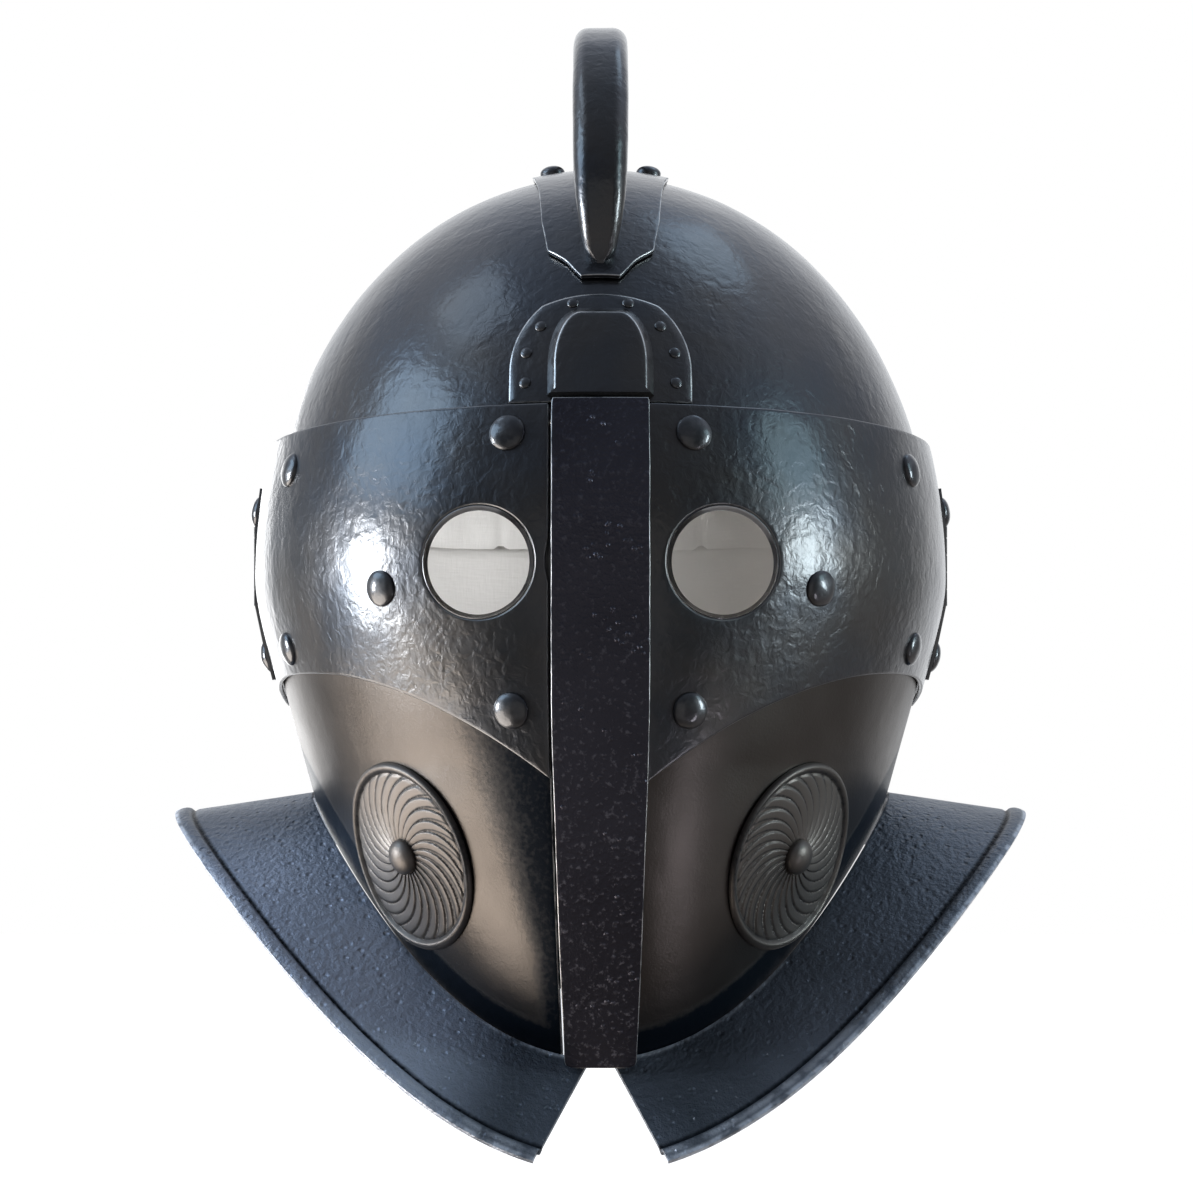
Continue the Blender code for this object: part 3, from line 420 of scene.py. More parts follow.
def cut_round_hole(bm, centre_x, centre_z, radius, out, spacing):
    """Open a round hole, as seen from the front, and relax the grid around it."""
    def distance(vertex):
        return hypot(vertex.co.x - centre_x, vertex.co.z - centre_z)

    inside = [v for v in bm.verts if v.co.y < 0 and distance(v) < radius - 0.35 * spacing]
    bmesh.ops.delete(bm, geom=inside, context="VERTS")
    near = [v for v in bm.verts if v.co.y < 0 and distance(v) < radius + 4 * spacing]
    rim = {v for v in near if any(edge.is_boundary for edge in v.link_edges)
           and distance(v) < radius + 1.6 * spacing}
    for _ in range(12):
        moves = []
        for vertex in near:
            around = [edge.other_vert(vertex) for edge in vertex.link_edges
                      if vertex not in rim or edge.is_boundary and edge.other_vert(vertex) in rim]
            x = sum(v.co.x for v in around) / max(1, len(around))
            z = sum(v.co.z for v in around) / max(1, len(around))
            if vertex in rim:
                x = 0.5 * (x - centre_x) + 0.5 * (vertex.co.x - centre_x)
                z = 0.5 * (z - centre_z) + 0.5 * (vertex.co.z - centre_z)
                share = radius / hypot(x, z)
                moves.append((vertex, centre_x + x * share, centre_z + z * share))
            else:
                weight = 0.6 * smooth_step((radius + 4 * spacing - distance(vertex)) / (3 * spacing))
                moves.append((vertex, vertex.co.x + (x - vertex.co.x) * weight,
                              vertex.co.z + (z - vertex.co.z) * weight))
        for vertex, x, z in moves:
            vertex.co = front_point(x, z, out)


def turns(steps):
    """The angles of equal steps round a circle."""
    return [2 * pi * step / steps for step in range(steps)]


def lathe(bm, profile, point, direction, steps):
    """Add a turned solid with its axis along direction: profile is (radius, height) pairs."""
    turned = Matrix.Translation(point) @ direction.to_track_quat("Z", "Y").to_matrix().to_4x4()
    rings = []
    for radius, height in profile:
        ring = [(radius * cos(turn), radius * sin(turn)) for turn in turns(steps)]
        corners = ring if radius > 1e-7 else [(0, 0)]
        rings.append([bm.verts.new(turned @ Vector((x, y, height))) for x, y in corners])
    for first, last in zip(rings, rings[1:]):
        for step in range(steps):
            following = (step + 1) % steps
            corners = [first[step % len(first)], first[following % len(first)],
                       last[following % len(last)], last[step % len(last)]]
            bm.faces.new(list(dict.fromkeys(corners)))


# ------------- materials

class Nodes:
    """Short calls for building the nodes of a material or of the world."""

    def __init__(self, tree, coordinates="Object"):
        self.tree = tree
        self.place = self.new("ShaderNodeTexCoord").outputs[coordinates]

    def feed(self, socket, value):
        """Link an output to a socket, or set the socket to a value."""
        if isinstance(value, bpy.types.NodeSocket):
            self.tree.links.new(value, socket)
        else:
            socket.default_value = value

    def new(self, kind, **inputs):
        """A node with its sockets fed; an underscore stands for the space in a socket's name."""
        node = self.tree.nodes.new(kind)
        for name, value in inputs.items():
            self.feed(node.inputs[name.replace("_", " ")], value)
        return node

    def noise(self, scale, detail=2.0, roughness=0.5, stretch=None, distortion=0.0):
        place = self.place
        if stretch:
            place = self.new("ShaderNodeMapping", Vector=place, Scale=stretch).outputs["Vector"]
        return self.new("ShaderNodeTexNoise", Vector=place, Scale=scale, Detail=detail,
                        Roughness=roughness, Distortion=distortion).outputs["Fac"]

    def cells(self, scale):
        return self.new("ShaderNodeTexVoronoi", Vector=self.place, Scale=scale).outputs["Distance"]

    def attribute(self, name):
        """A value painted on the mesh, 0 where a mesh has none."""
        node = self.new("ShaderNodeAttribute")
        node.attribute_name = name
        return node.outputs["Fac"]

    def spread(self, value, low, high, to_low=0.0, to_high=1.0):
        """The value's range from low to high, stretched to another, and held at its ends."""
        return self.new("ShaderNodeMapRange", Value=value, From_Min=low, From_Max=high,
                        To_Min=to_low, To_Max=to_high).outputs["Result"]

    def uneven(self, pattern, low, high):
        """A number that wanders between low and high with a noise pattern."""
        return self.spread(pattern, 0.3, 0.7, low, high)

    def maths(self, operation, first, second):
        node = self.new("ShaderNodeMath")
        node.operation = operation
        self.feed(node.inputs[0], first)
        self.feed(node.inputs[1], second)
        return node.outputs["Value"]

    def blend(self, share, first, second):
        """A colour between two others."""
        node = self.new("ShaderNodeMix", Factor=share)
        node.data_type = "RGBA"
        sockets = [socket for socket in node.inputs if socket.type == "RGBA"]
        for socket, colour in zip(sockets, (first, second)):
            self.feed(socket, (*colour, 1.0) if isinstance(colour, tuple) else colour)
        return [socket for socket in node.outputs if socket.type == "RGBA"][0]

    def mottled(self, pattern, first, second):
        """Two colours in the patches of a noise pattern."""
        return self.blend(self.spread(pattern, 0.35, 0.65), first, second)

    def bump(self, height, distance, before=None):
        node = self.new("ShaderNodeBump", Height=height, Distance=distance)
        if before is not None:
            self.feed(node.inputs["Normal"], before)
        return node.outputs["Normal"]


class Skin(Nodes):
    """A material in the making."""

    def __init__(self, name):
        self.material = bpy.data.materials.new(name)
        self.material.use_nodes = True
        super().__init__(self.material.node_tree)
        self.sockets = self.tree.nodes["Principled BSDF"].inputs

    def finish(self, colour, roughness, normal, metallic=1.0):
        self.feed(self.sockets["Base Color"], colour)
        self.feed(self.sockets["Roughness"], roughness)
        self.feed(self.sockets["Normal"], normal)
        if metallic is not None:
            self.feed(self.sockets["Metallic"], metallic)
        return self.material

    def lacquer(self, relief, roughness):
        """Put a thin gloss over the material, with a relief of its own."""
        self.feed(self.sockets["Coat Weight"], 1.0)
        self.feed(self.sockets["Coat Roughness"], roughness)
        self.feed(self.sockets["Coat Normal"], relief)


def hammered_steel():
    """Blackened and lacquered: a soft sheen under a thin gloss, over a skin of small lumps."""
    made = Skin("hammered_steel")
    dents = made.noise(100.0, 2.0, 0.45)
    skin = made.noise(300.0, 3.0, 0.5, distortion=0.5)
    streaks = made.noise(520.0, 2.0, 0.5, stretch=(1.0, 1.0, 0.45))
    where = made.spread(made.noise(14.0, 2.0), 0.50, 0.60)
    pits = made.maths("MULTIPLY", made.spread(made.noise(190.0, 2.0), 0.60, 0.72), where)
    colour = made.mottled(made.noise(26.0, 3.0), (0.068, 0.075, 0.088), (0.100, 0.093, 0.088))
    relief = made.bump(skin, 0.00030, made.bump(dents, 0.00024))
    relief = made.bump(pits, -0.00016, made.bump(streaks, 0.00007, relief))
    made.lacquer(made.bump(skin, 0.00013, made.bump(dents, 0.00014)), 0.17)
    return made.finish(colour, made.uneven(made.noise(60.0, 4.0), 0.33, 0.40), relief)


def painted_shade_over(made, clean, metallic):
    """Lay painted shade over a colour where the mesh says so, ragged at its edge, and dull it there."""
    ragged = made.maths("ADD", made.attribute("painted_shade"), made.uneven(made.noise(620.0, 2.0), -0.09, 0.09))
    share = made.spread(ragged, 0.20, 0.90)
    made.feed(made.sockets["Metallic"], made.spread(share, 0.0, 1.0, metallic, 0.0))
    made.feed(made.sockets["Specular IOR Level"], made.spread(share, 0.0, 1.0, 0.5, 0.15))
    # the near-black of the painted shade
    return made.blend(share, clean, (0.004, 0.007, 0.012))


def satin_steel(name="satin_steel", tone=1.0, metallic=1.0, rough=0.30):
    """Blackened and rubbed to a soft, brownish sheen."""
    made = Skin(name)
    low = tuple(tone * share for share in (0.112, 0.099, 0.089))
    high = tuple(tone * share for share in (0.142, 0.127, 0.115))
    clean = made.mottled(made.noise(24.0, 3.0), low, high)
    relief = made.bump(made.noise(150.0, 2.0, 0.5), 0.00010)
    relief = made.bump(made.noise(1300.0, 3.0, 0.6), 0.00006, relief)
    # painted shade where the mesh holds it
    return made.finish(painted_shade_over(made, clean, metallic),
                       made.uneven(made.noise(45.0, 5.0), rough, rough + 0.07), relief, None)


def grained_steel():
    """Blackened over a fine cast grain, with many small bright spots, rubbed high spots and painted
    glints, most of them low, where light from below catches the bar.
    """
    made = Skin("grained_steel")
    grain = made.noise(620.0, 2.0, 0.6)
    bumps = made.spread(made.cells(430.0), 0.12, 0.34, 1.0, 0.0)
    height = made.new("ShaderNodeSeparateXYZ", Vector=made.place).outputs["Z"]
    # painted glints: more of the bright spots lower down the bar
    glints_lower_down = made.spread(height, -0.02, -0.13, 0.25, 1.0)
    rings = made.maths("MULTIPLY", bumps, made.spread(made.noise(110.0, 2.0), 0.50, 0.62))
    high = made.maths("MAXIMUM", made.spread(grain, 0.57, 0.72, 0.0, 0.90),
                      made.spread(rings, 0.0, 1.0, 0.0, 0.40))
    base = made.mottled(made.noise(22.0, 3.0), (0.072, 0.069, 0.086), (0.096, 0.092, 0.114))
    # pale spots, rubbed high spots and painted glints
    colour = made.blend(made.maths("MULTIPLY", high, glints_lower_down), base, (0.34, 0.33, 0.38))
    relief = made.bump(rings, 0.00030, made.bump(grain, 0.00042))
    return made.finish(colour, made.uneven(made.noise(70.0, 4.0), 0.34, 0.44), relief)


def blued_steel():
    """The flanges: a dull blue-grey skin with fine grain, rubbed bright along the edges, with a painted
    highlight on the border's roll and inner lip and painted shade in its groove.

    How light and blue each flange looks is painted on the mesh: painted light, set by how the lamps fall
    on it."""
    made = Skin("blued_steel")
    patches = made.spread(made.noise(20.0, 3.0), 0.35, 0.65, -0.06, 0.06)
    tone_and_painted_light = made.maths("ADD", made.attribute("tone_and_painted_light"), patches)
    # from dark to light blue, by the painted tone and painted light
    base = made.blend(made.spread(tone_and_painted_light, 0.0, 1.0), (0.046, 0.056, 0.068), (0.53, 0.59, 0.72))
    worn_and_highlit = made.maths("MULTIPLY", made.attribute("wear_and_highlight"),
                        made.spread(made.noise(190.0, 3.0), 0.36, 0.56, 0.15, 1.0))
    # bright worn edges and painted highlights over the painted shade
    colour = made.blend(worn_and_highlit, painted_shade_over(made, base, 0.40), (0.72, 0.76, 0.84))
    relief = made.bump(made.noise(420.0, 3.0, 0.6), 0.00080)
    relief = made.bump(made.spread(made.cells(240.0), 0.08, 0.26), 0.00035, relief)
    return made.finish(colour, made.uneven(made.noise(70.0, 4.0), 0.36, 0.46), relief, None)


def rivet_steel():
    """Blackened heads, polished by handling."""
    made = Skin("rivet_steel")
    broad = made.noise(300.0, 3.0)
    colour = made.mottled(broad, (0.080, 0.082, 0.088), (0.120, 0.120, 0.124))
    relief = made.bump(made.noise(900.0, 2.0), 0.00003, made.bump(broad, 0.00012))
    made.lacquer(relief, 0.12)
    return made.finish(colour, made.uneven(broad, 0.32, 0.42), relief)


def bare_steel():
    """Oiled steel with fine file marks."""
    made = Skin("bare_steel")
    broad = made.noise(80.0, 4.0)
    colour = made.mottled(broad, (0.18, 0.18, 0.185), (0.30, 0.295, 0.29))
    file_marks = made.bump(made.noise(500.0, 3.0, 0.6, stretch=(1.0, 1.0, 0.08)), 0.00004)
    return made.finish(colour, made.uneven(broad, 0.28, 0.42), file_marks)


def worn_steel():
    """Edges where handling has rubbed the black away in places."""
    made = Skin("worn_steel")
    patches = made.spread(made.noise(130.0, 4.0, 0.6), 0.32, 0.54)
    colour = made.blend(patches, (0.12, 0.125, 0.14), (0.80, 0.79, 0.77))
    relief = made.bump(made.noise(700.0, 3.0), 0.00005)
    return made.finish(colour, made.uneven(made.noise(300.0, 3.0), 0.34, 0.48), relief)


def quilted_linen():
    """Undyed linen with a visible weave."""
    made = Skin("quilted_linen")
    along, across = [made.noise(1100.0, 1.0, 0.5, stretch=stretch)
                     for stretch in ((1.0, 1.0, 0.15), (0.15, 0.15, 1.0))]
    weave = made.maths("ADD", along, across)
    patches = made.spread(made.noise(35.0, 4.0), 0.3, 0.7)
    colour = made.blend(patches, (0.74, 0.735, 0.72), (0.82, 0.815, 0.80))
    made.feed(made.sockets["Sheen Weight"], 0.25)
    return made.finish(colour, made.spread(weave, 0.6, 1.4, 0.95, 0.80),
                       made.bump(weave, 0.00008), 0.0)


HAMMERED = hammered_steel()
SATIN = satin_steel()
ROSETTE_SATIN = satin_steel("rosette_satin", 1.45, 0.8, 0.40)
GRAINED = grained_steel()
BLUED = blued_steel()
RIVET = rivet_steel()
BARE = bare_steel()
WORN = worn_steel()
LINEN = quilted_linen()


# ------------- skull

def make_skull():
    level = 34 / 150           # the share of the rows below the eye line

    def place(u, v):
        azimuth = 2 * pi * u
        if v < level:
            return form_point(azimuth, skull_bottom(azimuth) * (1 - v / level), SKULL_OUT)
        height = (FORM_TOP + SKULL_OUT) * sin(pi / 2 * (v - level) / (1 - level))
        return form_point(azimuth, height, SKULL_OUT)

    bm = sheet(400, 150, place, closed=True)
    bmesh.ops.remove_doubles(bm, verts=bm.verts, dist=1e-6)
    above = Vector((0.0, SKULL_BROW_SLOPE, 1.0)).normalized()
    on_line = Vector((0.0, SKULL_EDGE_Y, SKULL_BROW))
    for square_to in (above, (0, 1, 0)):
        whole = bm.verts[:] + bm.edges[:] + bm.faces[:]
        bmesh.ops.bisect_plane(bm, geom=whole, dist=1e-7, plane_co=on_line, plane_no=square_to)
    opening = [face for face in bm.faces if face.calc_center_median().y < SKULL_EDGE_Y
               and (face.calc_center_median() - on_line).dot(above) < 0]
    bmesh.ops.delete(bm, geom=opening, context="FACES")
    push_out(bm, lambda point: hammered(point) - 0.00015)
    bowl = piece("raised_bowl", bm, "bowl", ["skull_bowl"], HAMMERED, WORN)
    thicken(bowl, SHEET)


def around_back(start, u):
    """The azimuth at u, from 0 to 1, on the way round the back from start to its mirror."""
    return start + (2 * pi - 2 * start) * u


def make_neck_guard():
    """The rear flange, with the same raised border as the collars."""
    def place(u, v):
        azimuth = around_back(GUARD_FROM, u)
        width = GUARD_END_WIDTH + (GUARD_WIDTH - GUARD_END_WIDTH) * smooth_step(min(u, 1 - u) / 0.22)
        edge = skull_bottom(azimuth)
        if v > GUARD_FLARED:
            lip = GUARD_LIP * (v - GUARD_FLARED) / (1 - GUARD_FLARED)
            return form_point(azimuth, edge + lip, BROW_OUT)
        flare = 1 - v / GUARD_FLARED
        outwards = Vector((sin(azimuth), -cos(azimuth), 0.0))
        drop = 0.42 * width * (1 - (1 - flare) ** 1.4)
        bead = border_bead(v / GUARD_FLARED * width)
        return (form_point(azimuth, edge, BROW_OUT) + outwards * width * flare ** 1.15
                + Vector((0, 0, bead - drop)))

    bm = sheet(260, 56, place)
    push_out(bm, hand_planished)
    paint(bm, "tone_and_painted_light", lambda point: GUARD_BLOOM)
    guard = piece("rear_flange", bm, "bowl", ["neck_guard"], BLUED, WORN)
    thicken(guard, BROW_OUT - GAP)


# ------------- doors

def door_place(side, out, lower, upper):
    """The place of a door plate's grid corners between its two edges."""
    def place(u, v):
        height = -0.05      # the span depends on the height, so both are found together
        for _ in range(3):
            first, last = door_span(side, height)
            azimuth = first + (last - first) * u
            height = lower(azimuth) + (upper(azimuth) - lower(azimuth)) * v
        return form_point(azimuth, height, out)
    return place


def rivet_dents(side):
    """The visor's sheet is beaten down a little around each rivet."""
    spots = [Vector((side * x, 0.0, z)) for x, z in VISOR_RIVETS]

    def relief(point):
        dent = 0.0
        for spot in spots:
            away = hypot(point.x - spot.x, point.z - spot.z)
            if away < 0.016:
                dent -= 0.00012 * smooth_step((0.016 - away) / 0.010)
        return hammered(point) + dent
    return relief


def cheek_painted_shade(point, side):
    """How much painted shade lies on a cheek: all of it in the corner over the collar, where the collar
    shades it, and a band beside the bar, a painted reflection of the bar.
    """
    turned_by = atan2(point.x, -point.y)
    above_collar = point.z - jaw(turned_by)
    band = 0.0060 + 0.0120 * sin(turned_by) ** 2
    beside_bar = abs(point.x - seam_x(side, point.z))
    reach = 0.009 + 0.32 * max(0.0, point.z + 0.118)
    corner = 1.0 - smooth_step((above_collar - band) / 0.0050)
    return max(corner, 0.9 * (1.0 - smooth_step((beside_bar - 0.3 * reach) / (0.9 * reach))))


def make_face_plate(label, side):
    place = door_place(side, FACE_OUT, lambda azimuth: jaw(azimuth) - 0.0015,
                       lambda azimuth: visor_top(azimuth) - 0.0015)
    bm = sheet(120, 124, place)
    cut_round_hole(bm, side * EYE_X, EYE_Z, EYE_RADIUS - 0.0001, FACE_OUT, 0.0016)
    # painted shade and painted reflection on the cheek
    paint(bm, "painted_shade", lambda point: cheek_painted_shade(point, side))
    push_out(bm, hand_planished)
    plate = piece(label + "_cheek", bm, label + "_door",
                  [label + "_face_plate"], SATIN, WORN)
    thicken(plate, SHEET)


def make_visor(label, side):
    place = door_place(side, VISOR_OUT,
                       lambda azimuth: visor_bottom(azimuth) + edge_waver(azimuth * 0.12 + side),
                       lambda azimuth: visor_top(azimuth) + edge_waver(azimuth * 0.12 + 3 * side))
    bm = sheet(150, 80, place)
    cut_round_hole(bm, side * EYE_X, EYE_Z, EYE_RADIUS, VISOR_OUT, 0.0013)
    push_out(bm, rivet_dents(side))
    visor = piece(label + "_visor", bm, label + "_door",
                  [label + "_visor_plate"], HAMMERED, BARE)
    thicken(visor, SHEET, 0.00045)
    make_eye_rim(label, side)


def make_eye_rim(label, side):
    """The lip of the face plate's hole, bevelled down from the visor's face."""
    profile = [(EYE_RADIUS - 0.0001, VISOR_OUT - 0.0004), (EYE_RADIUS - 0.0004, VISOR_OUT - 0.0003),
               (EYE_CLEAR_RADIUS + 0.0004, 0.0013), (EYE_CLEAR_RADIUS + 0.0001, 0.0008),
               (EYE_CLEAR_RADIUS, 0.0004), (EYE_CLEAR_RADIUS + 0.0005, 0.0002),
               (EYE_RADIUS - 0.0001, 0.0002)]
    bm = bmesh.new()
    rings = [[bm.verts.new(front_point(side * EYE_X + radius * cos(turn),
                                       EYE_Z + radius * sin(turn), out))
              for radius, out in profile] for turn in turns(128)]
    for ring, following in zip(rings, rings[1:] + rings[:1]):
        for corner in range(len(profile)):
            after = (corner + 1) % len(profile)
            bm.faces.new((ring[corner], following[corner], following[after], ring[after]))
    bmesh.ops.recalc_face_normals(bm, faces=bm.faces)
    rim = piece(label + "_eye_rim", bm, label + "_door", [], RIVET)
    smooth_but(rim, 40)


def collar_edge_point(azimuth):
    """The collar's outer edge."""
    across, ahead = sin(azimuth), cos(azimuth)
    power = 1.8
    reach = (abs(across / COLLAR_HALF_WIDTH) ** power
             + abs(ahead / COLLAR_FRONT) ** power) ** (-1.0 / power)
    height = COLLAR_TIP + COLLAR_RISE * abs(across) ** 1.85
    return Vector((reach * across, -reach * ahead, height))


def border_bead(from_edge):
    """Height of the raised border, a half-round roll inside a fine groove."""
    roll = 0.0
    if from_edge < 0.0058:
        roll = 0.0012 * sin(pi * min(1.0, (from_edge + 0.0008) / 0.0066)) ** 0.7
    groove = 0.0005 * exp(-((from_edge - 0.0062) / 0.0008) ** 2)
    return roll - groove


def flange_painted_light(turned_by, side):
    """How light and blue a flange is painted, at an angle from the front: painted light, lightest partway
    round the right flange and dark towards the front tips, where the lamps fall.
    """
    rear = smooth_step((turned_by - 1.0) / 0.35)
    if side > 0:
        return 0.10 + 0.22 * rear + 0.10 * smooth_step((turned_by - 0.25) / 0.4) * (1.0 - rear)
    front = smooth_step((turned_by - 0.22) / 0.30)
    return 0.10 + 0.90 * front * (1.0 - 0.84 * rear)


def make_collar(label, side):
    inner_start = asin(COLLAR_SPLIT_INNER / COLLAR_INNER_FRONT)
    outer_start = asin(COLLAR_SPLIT_OUTER / COLLAR_FRONT)
    quarter = pi / 2

    def place(u, v):
        spread = u if side > 0 else 1 - u
        inner_azimuth = side * (inner_start + (quarter - inner_start) * spread)
        outer_azimuth = side * (outer_start + (quarter - outer_start) * spread)
        inner = form_point(inner_azimuth, jaw(inner_azimuth), FACE_OUT + 0.0008)
        return collar_edge_point(outer_azimuth).lerp(inner, v ** 1.25)

    bm = sheet(240, 72, place)
    edge = np.array([collar_edge_point(side * (outer_start + (quarter - outer_start) * step / 400))
                     for step in range(401)])
    painted_shade, wear_and_highlight, tone_and_painted_light = [bm.verts.layers.float.new(name) for name in ("painted_shade", "wear_and_highlight", "tone_and_painted_light")]
    for vertex in bm.verts:
        point = vertex.co.copy()
        away = float(np.sqrt(((edge - np.array(point)) ** 2).sum(1).min()))
        turned_by = abs(atan2(point.x, -point.y))
        reach = (point - form_point(side * turned_by, jaw(turned_by), FACE_OUT + 0.0008)).length
        # painted shade along the groove inside the border
        vertex[painted_shade] = 0.95 * exp(-((away - 0.0064) / 0.0010) ** 2)
        # painted light: how light and blue the flange looks where the lamps fall
        vertex[tone_and_painted_light] = flange_painted_light(turned_by, side)
        # painted highlight on the flange's inner edge, at the front
        lip = (1.0 - smooth_step(reach / 0.0020)) * (1.0 - smooth_step((turned_by - 0.5) / 0.3))
        # painted highlight along the border's roll, at the front
        roll = 0.5 * exp(-((away - 0.0028) / 0.0014) ** 2) * (1.0 - smooth_step(turned_by - 0.4))
        # worn bright along the outer edge, together with the painted highlights
        vertex[wear_and_highlight] = max(1.0 - smooth_step((away - 0.0006) / 0.0010), lip, roll)
        vertex.co.z += border_bead(away) + hand_planished(point)
    collar = piece(label + "_flange", bm, label + "_door",
                   [label + "_collar"], BLUED, WORN)
    thicken(collar, COLLAR_SHEET, 0.00045)


def make_seam_lip():
    """A thin strip riveted behind the joint of the doors, so that no light comes through."""
    def place(u, v):
        height = -0.128 + 0.170 * v
        x = seam_x(1, height) - 0.0030 + 0.0090 * u
        return front_point(x, height, -0.0007)

    lip = piece("seam_lip", sheet(6, 90, place), "left_door", [], BARE)
    thicken(lip, 0.0007, 0.0001, 1)


def make_bar():
    """The strap over the seam: thick, flat-faced, with its edges worn bright."""
    corner = 0.0022

    def place(u, v):
        height = BAR_BOTTOM + (BAR_TOP - BAR_BOTTOM) * v
        from_end = min(height - BAR_BOTTOM, 0.6 * (BAR_TOP - height) + corner * 0.5)
        round_off = corner - sqrt(max(0.0, corner ** 2 - max(0.0, corner - from_end) ** 2))
        half = bar_half_width(height) - round_off + edge_waver(height + 0.01 * u, 0.018, 0.00012)
        across = 2 * u - 1
        crown = 0.00035 * (1 - across * across)
        return Vector((across * half, -bar_front(height) - crown + 0.00050, height))

    bm = sheet(30, 210, place)
    push_out(bm, forged)
    bar = piece("nose_strap", bm, "left_door", ["centre_bar"], GRAINED, WORN)
    thicken(bar, BAR_THICKNESS, 0.0011, 3)


def petal_share(radius, turn, side):
    """How far across its curved petal a point of the rosette is, from 0 to 1."""
    share = radius / ROSETTE_RADIUS
    swirl = 0.35 * share + 0.75 * share ** 2.2
    return ((side * turn - swirl) * ROSETTE_FLUTES / (2 * pi)) % 1.0


def swirl_height(radius, turn, side):
    """Height of the rosette above its ground: beaded rim, curved flutes, raised middle."""
    share = radius / ROSETTE_RADIUS
    if share > 0.90:
        return 0.0019 * sin(pi * min(1.0, (share - 0.895) / 0.105 + 0.02)) ** 0.6
    across = petal_share(radius, turn, side)
    lobe = smooth_step(across / 0.16) * (1.0 - 0.6 * across ** 2)
    fade = smooth_step((share - 0.12) / 0.10) * smooth_step((0.915 - share) / 0.06)
    dome = 0.0009 * (1 - share ** 2)
    return dome + 0.00075 * lobe * fade


def make_rosette(label, side):
    azimuth = azimuth_at_x(side * ROSETTE_X, ROSETTE_Z)
    centre = form_point(azimuth, ROSETTE_Z, ROSETTE_OUT)
    direction = form_normal(azimuth, ROSETTE_Z)
    across = Vector((0, 0, 1)).cross(direction).normalized()
    up = direction.cross(across)

    def place(u, v):
        turn = 2 * pi * u
        radius = ROSETTE_RADIUS * (1 - v) + 0.002 * v
        flat = centre + across * radius * cos(turn) + up * radius * sin(turn)
        out = FACE_OUT + 0.0005 + swirl_height(radius, turn, side)
        return form_point(atan2(flat.x, -flat.y), flat.z, out)

    # Painted shade along the flutes' grooves and at the foot of the beaded rim.
    def painted_shade_in_grooves(point):
        right, over = (point - centre).dot(across), (point - centre).dot(up)
        radius = hypot(right, over)
        share = petal_share(radius, atan2(over, right), side)
        line = max(0.0, 1.0 - min(share, 1.0 - share) / 0.17)
        if not 0.16 < radius / ROSETTE_RADIUS < 0.90:
            line = 0.0
        return max(0.9 * line, 0.75 * exp(-((radius / ROSETTE_RADIUS - 0.895) / 0.022) ** 2))

    bm = sheet(ROSETTE_FLUTES * 16, 58, place, closed=True)
    paint(bm, "painted_shade", painted_shade_in_grooves)
    disc = piece(label + "_swirl_disc", bm, label + "_door",
                 [label + "_rosette"], ROSETTE_SATIN, WORN)
    thicken(disc, 0.0006, 0.0002)
    bm = bmesh.new()
    lathe(bm, dome_profile(BOSS_RADIUS, 0.0034, 0.0012), centre, direction, 48)
    boss = piece(label + "_centre_boss", bm, label + "_door",
                 [label + "_rosette_boss"], ROSETTE_SATIN)
    boss.data.shade_smooth()


# ------------- rivets

def dome_profile(radius, height, sink):
    """A domed head that stands on its plate, sunk a little into it."""
    points = [(0.0, height)]
    for step in range(1, 13):
        turn = radians(90 * step / 12)
        points.append((radius * sin(turn), height * (0.12 + 0.88 * cos(turn) ** 1.1)))
    return points + [(radius, -sink), (0.4 * radius, -sink), (0.0, -sink)]


def make_rivets(name, body, node_stem, seats, radius, steps=40):
    """One piece of equal rivets: seats are (point, direction, height of the head)."""
    bm = bmesh.new()
    for point, direction, height in seats:
        lathe(bm, dome_profile(radius, height, RIVET_SINK), point, direction, steps)
    bmesh.ops.recalc_face_normals(bm, faces=bm.faces)
    push_out(bm, lambda point: 0.03 * radius * lumps(point, 0.004))
    nodes = [f"{node_stem}_{number}" for number in range(1, len(seats) + 1)]
    smooth_but(piece(name, bm, body, nodes, RIVET), 60)


def seats(spots, out, head):
    """Rivets' seats at (azimuth, height) spots on the form, for heads of one height."""
    return [(form_point(azimuth, height, out), form_normal(azimuth, height), head)
            for azimuth, height in spots]


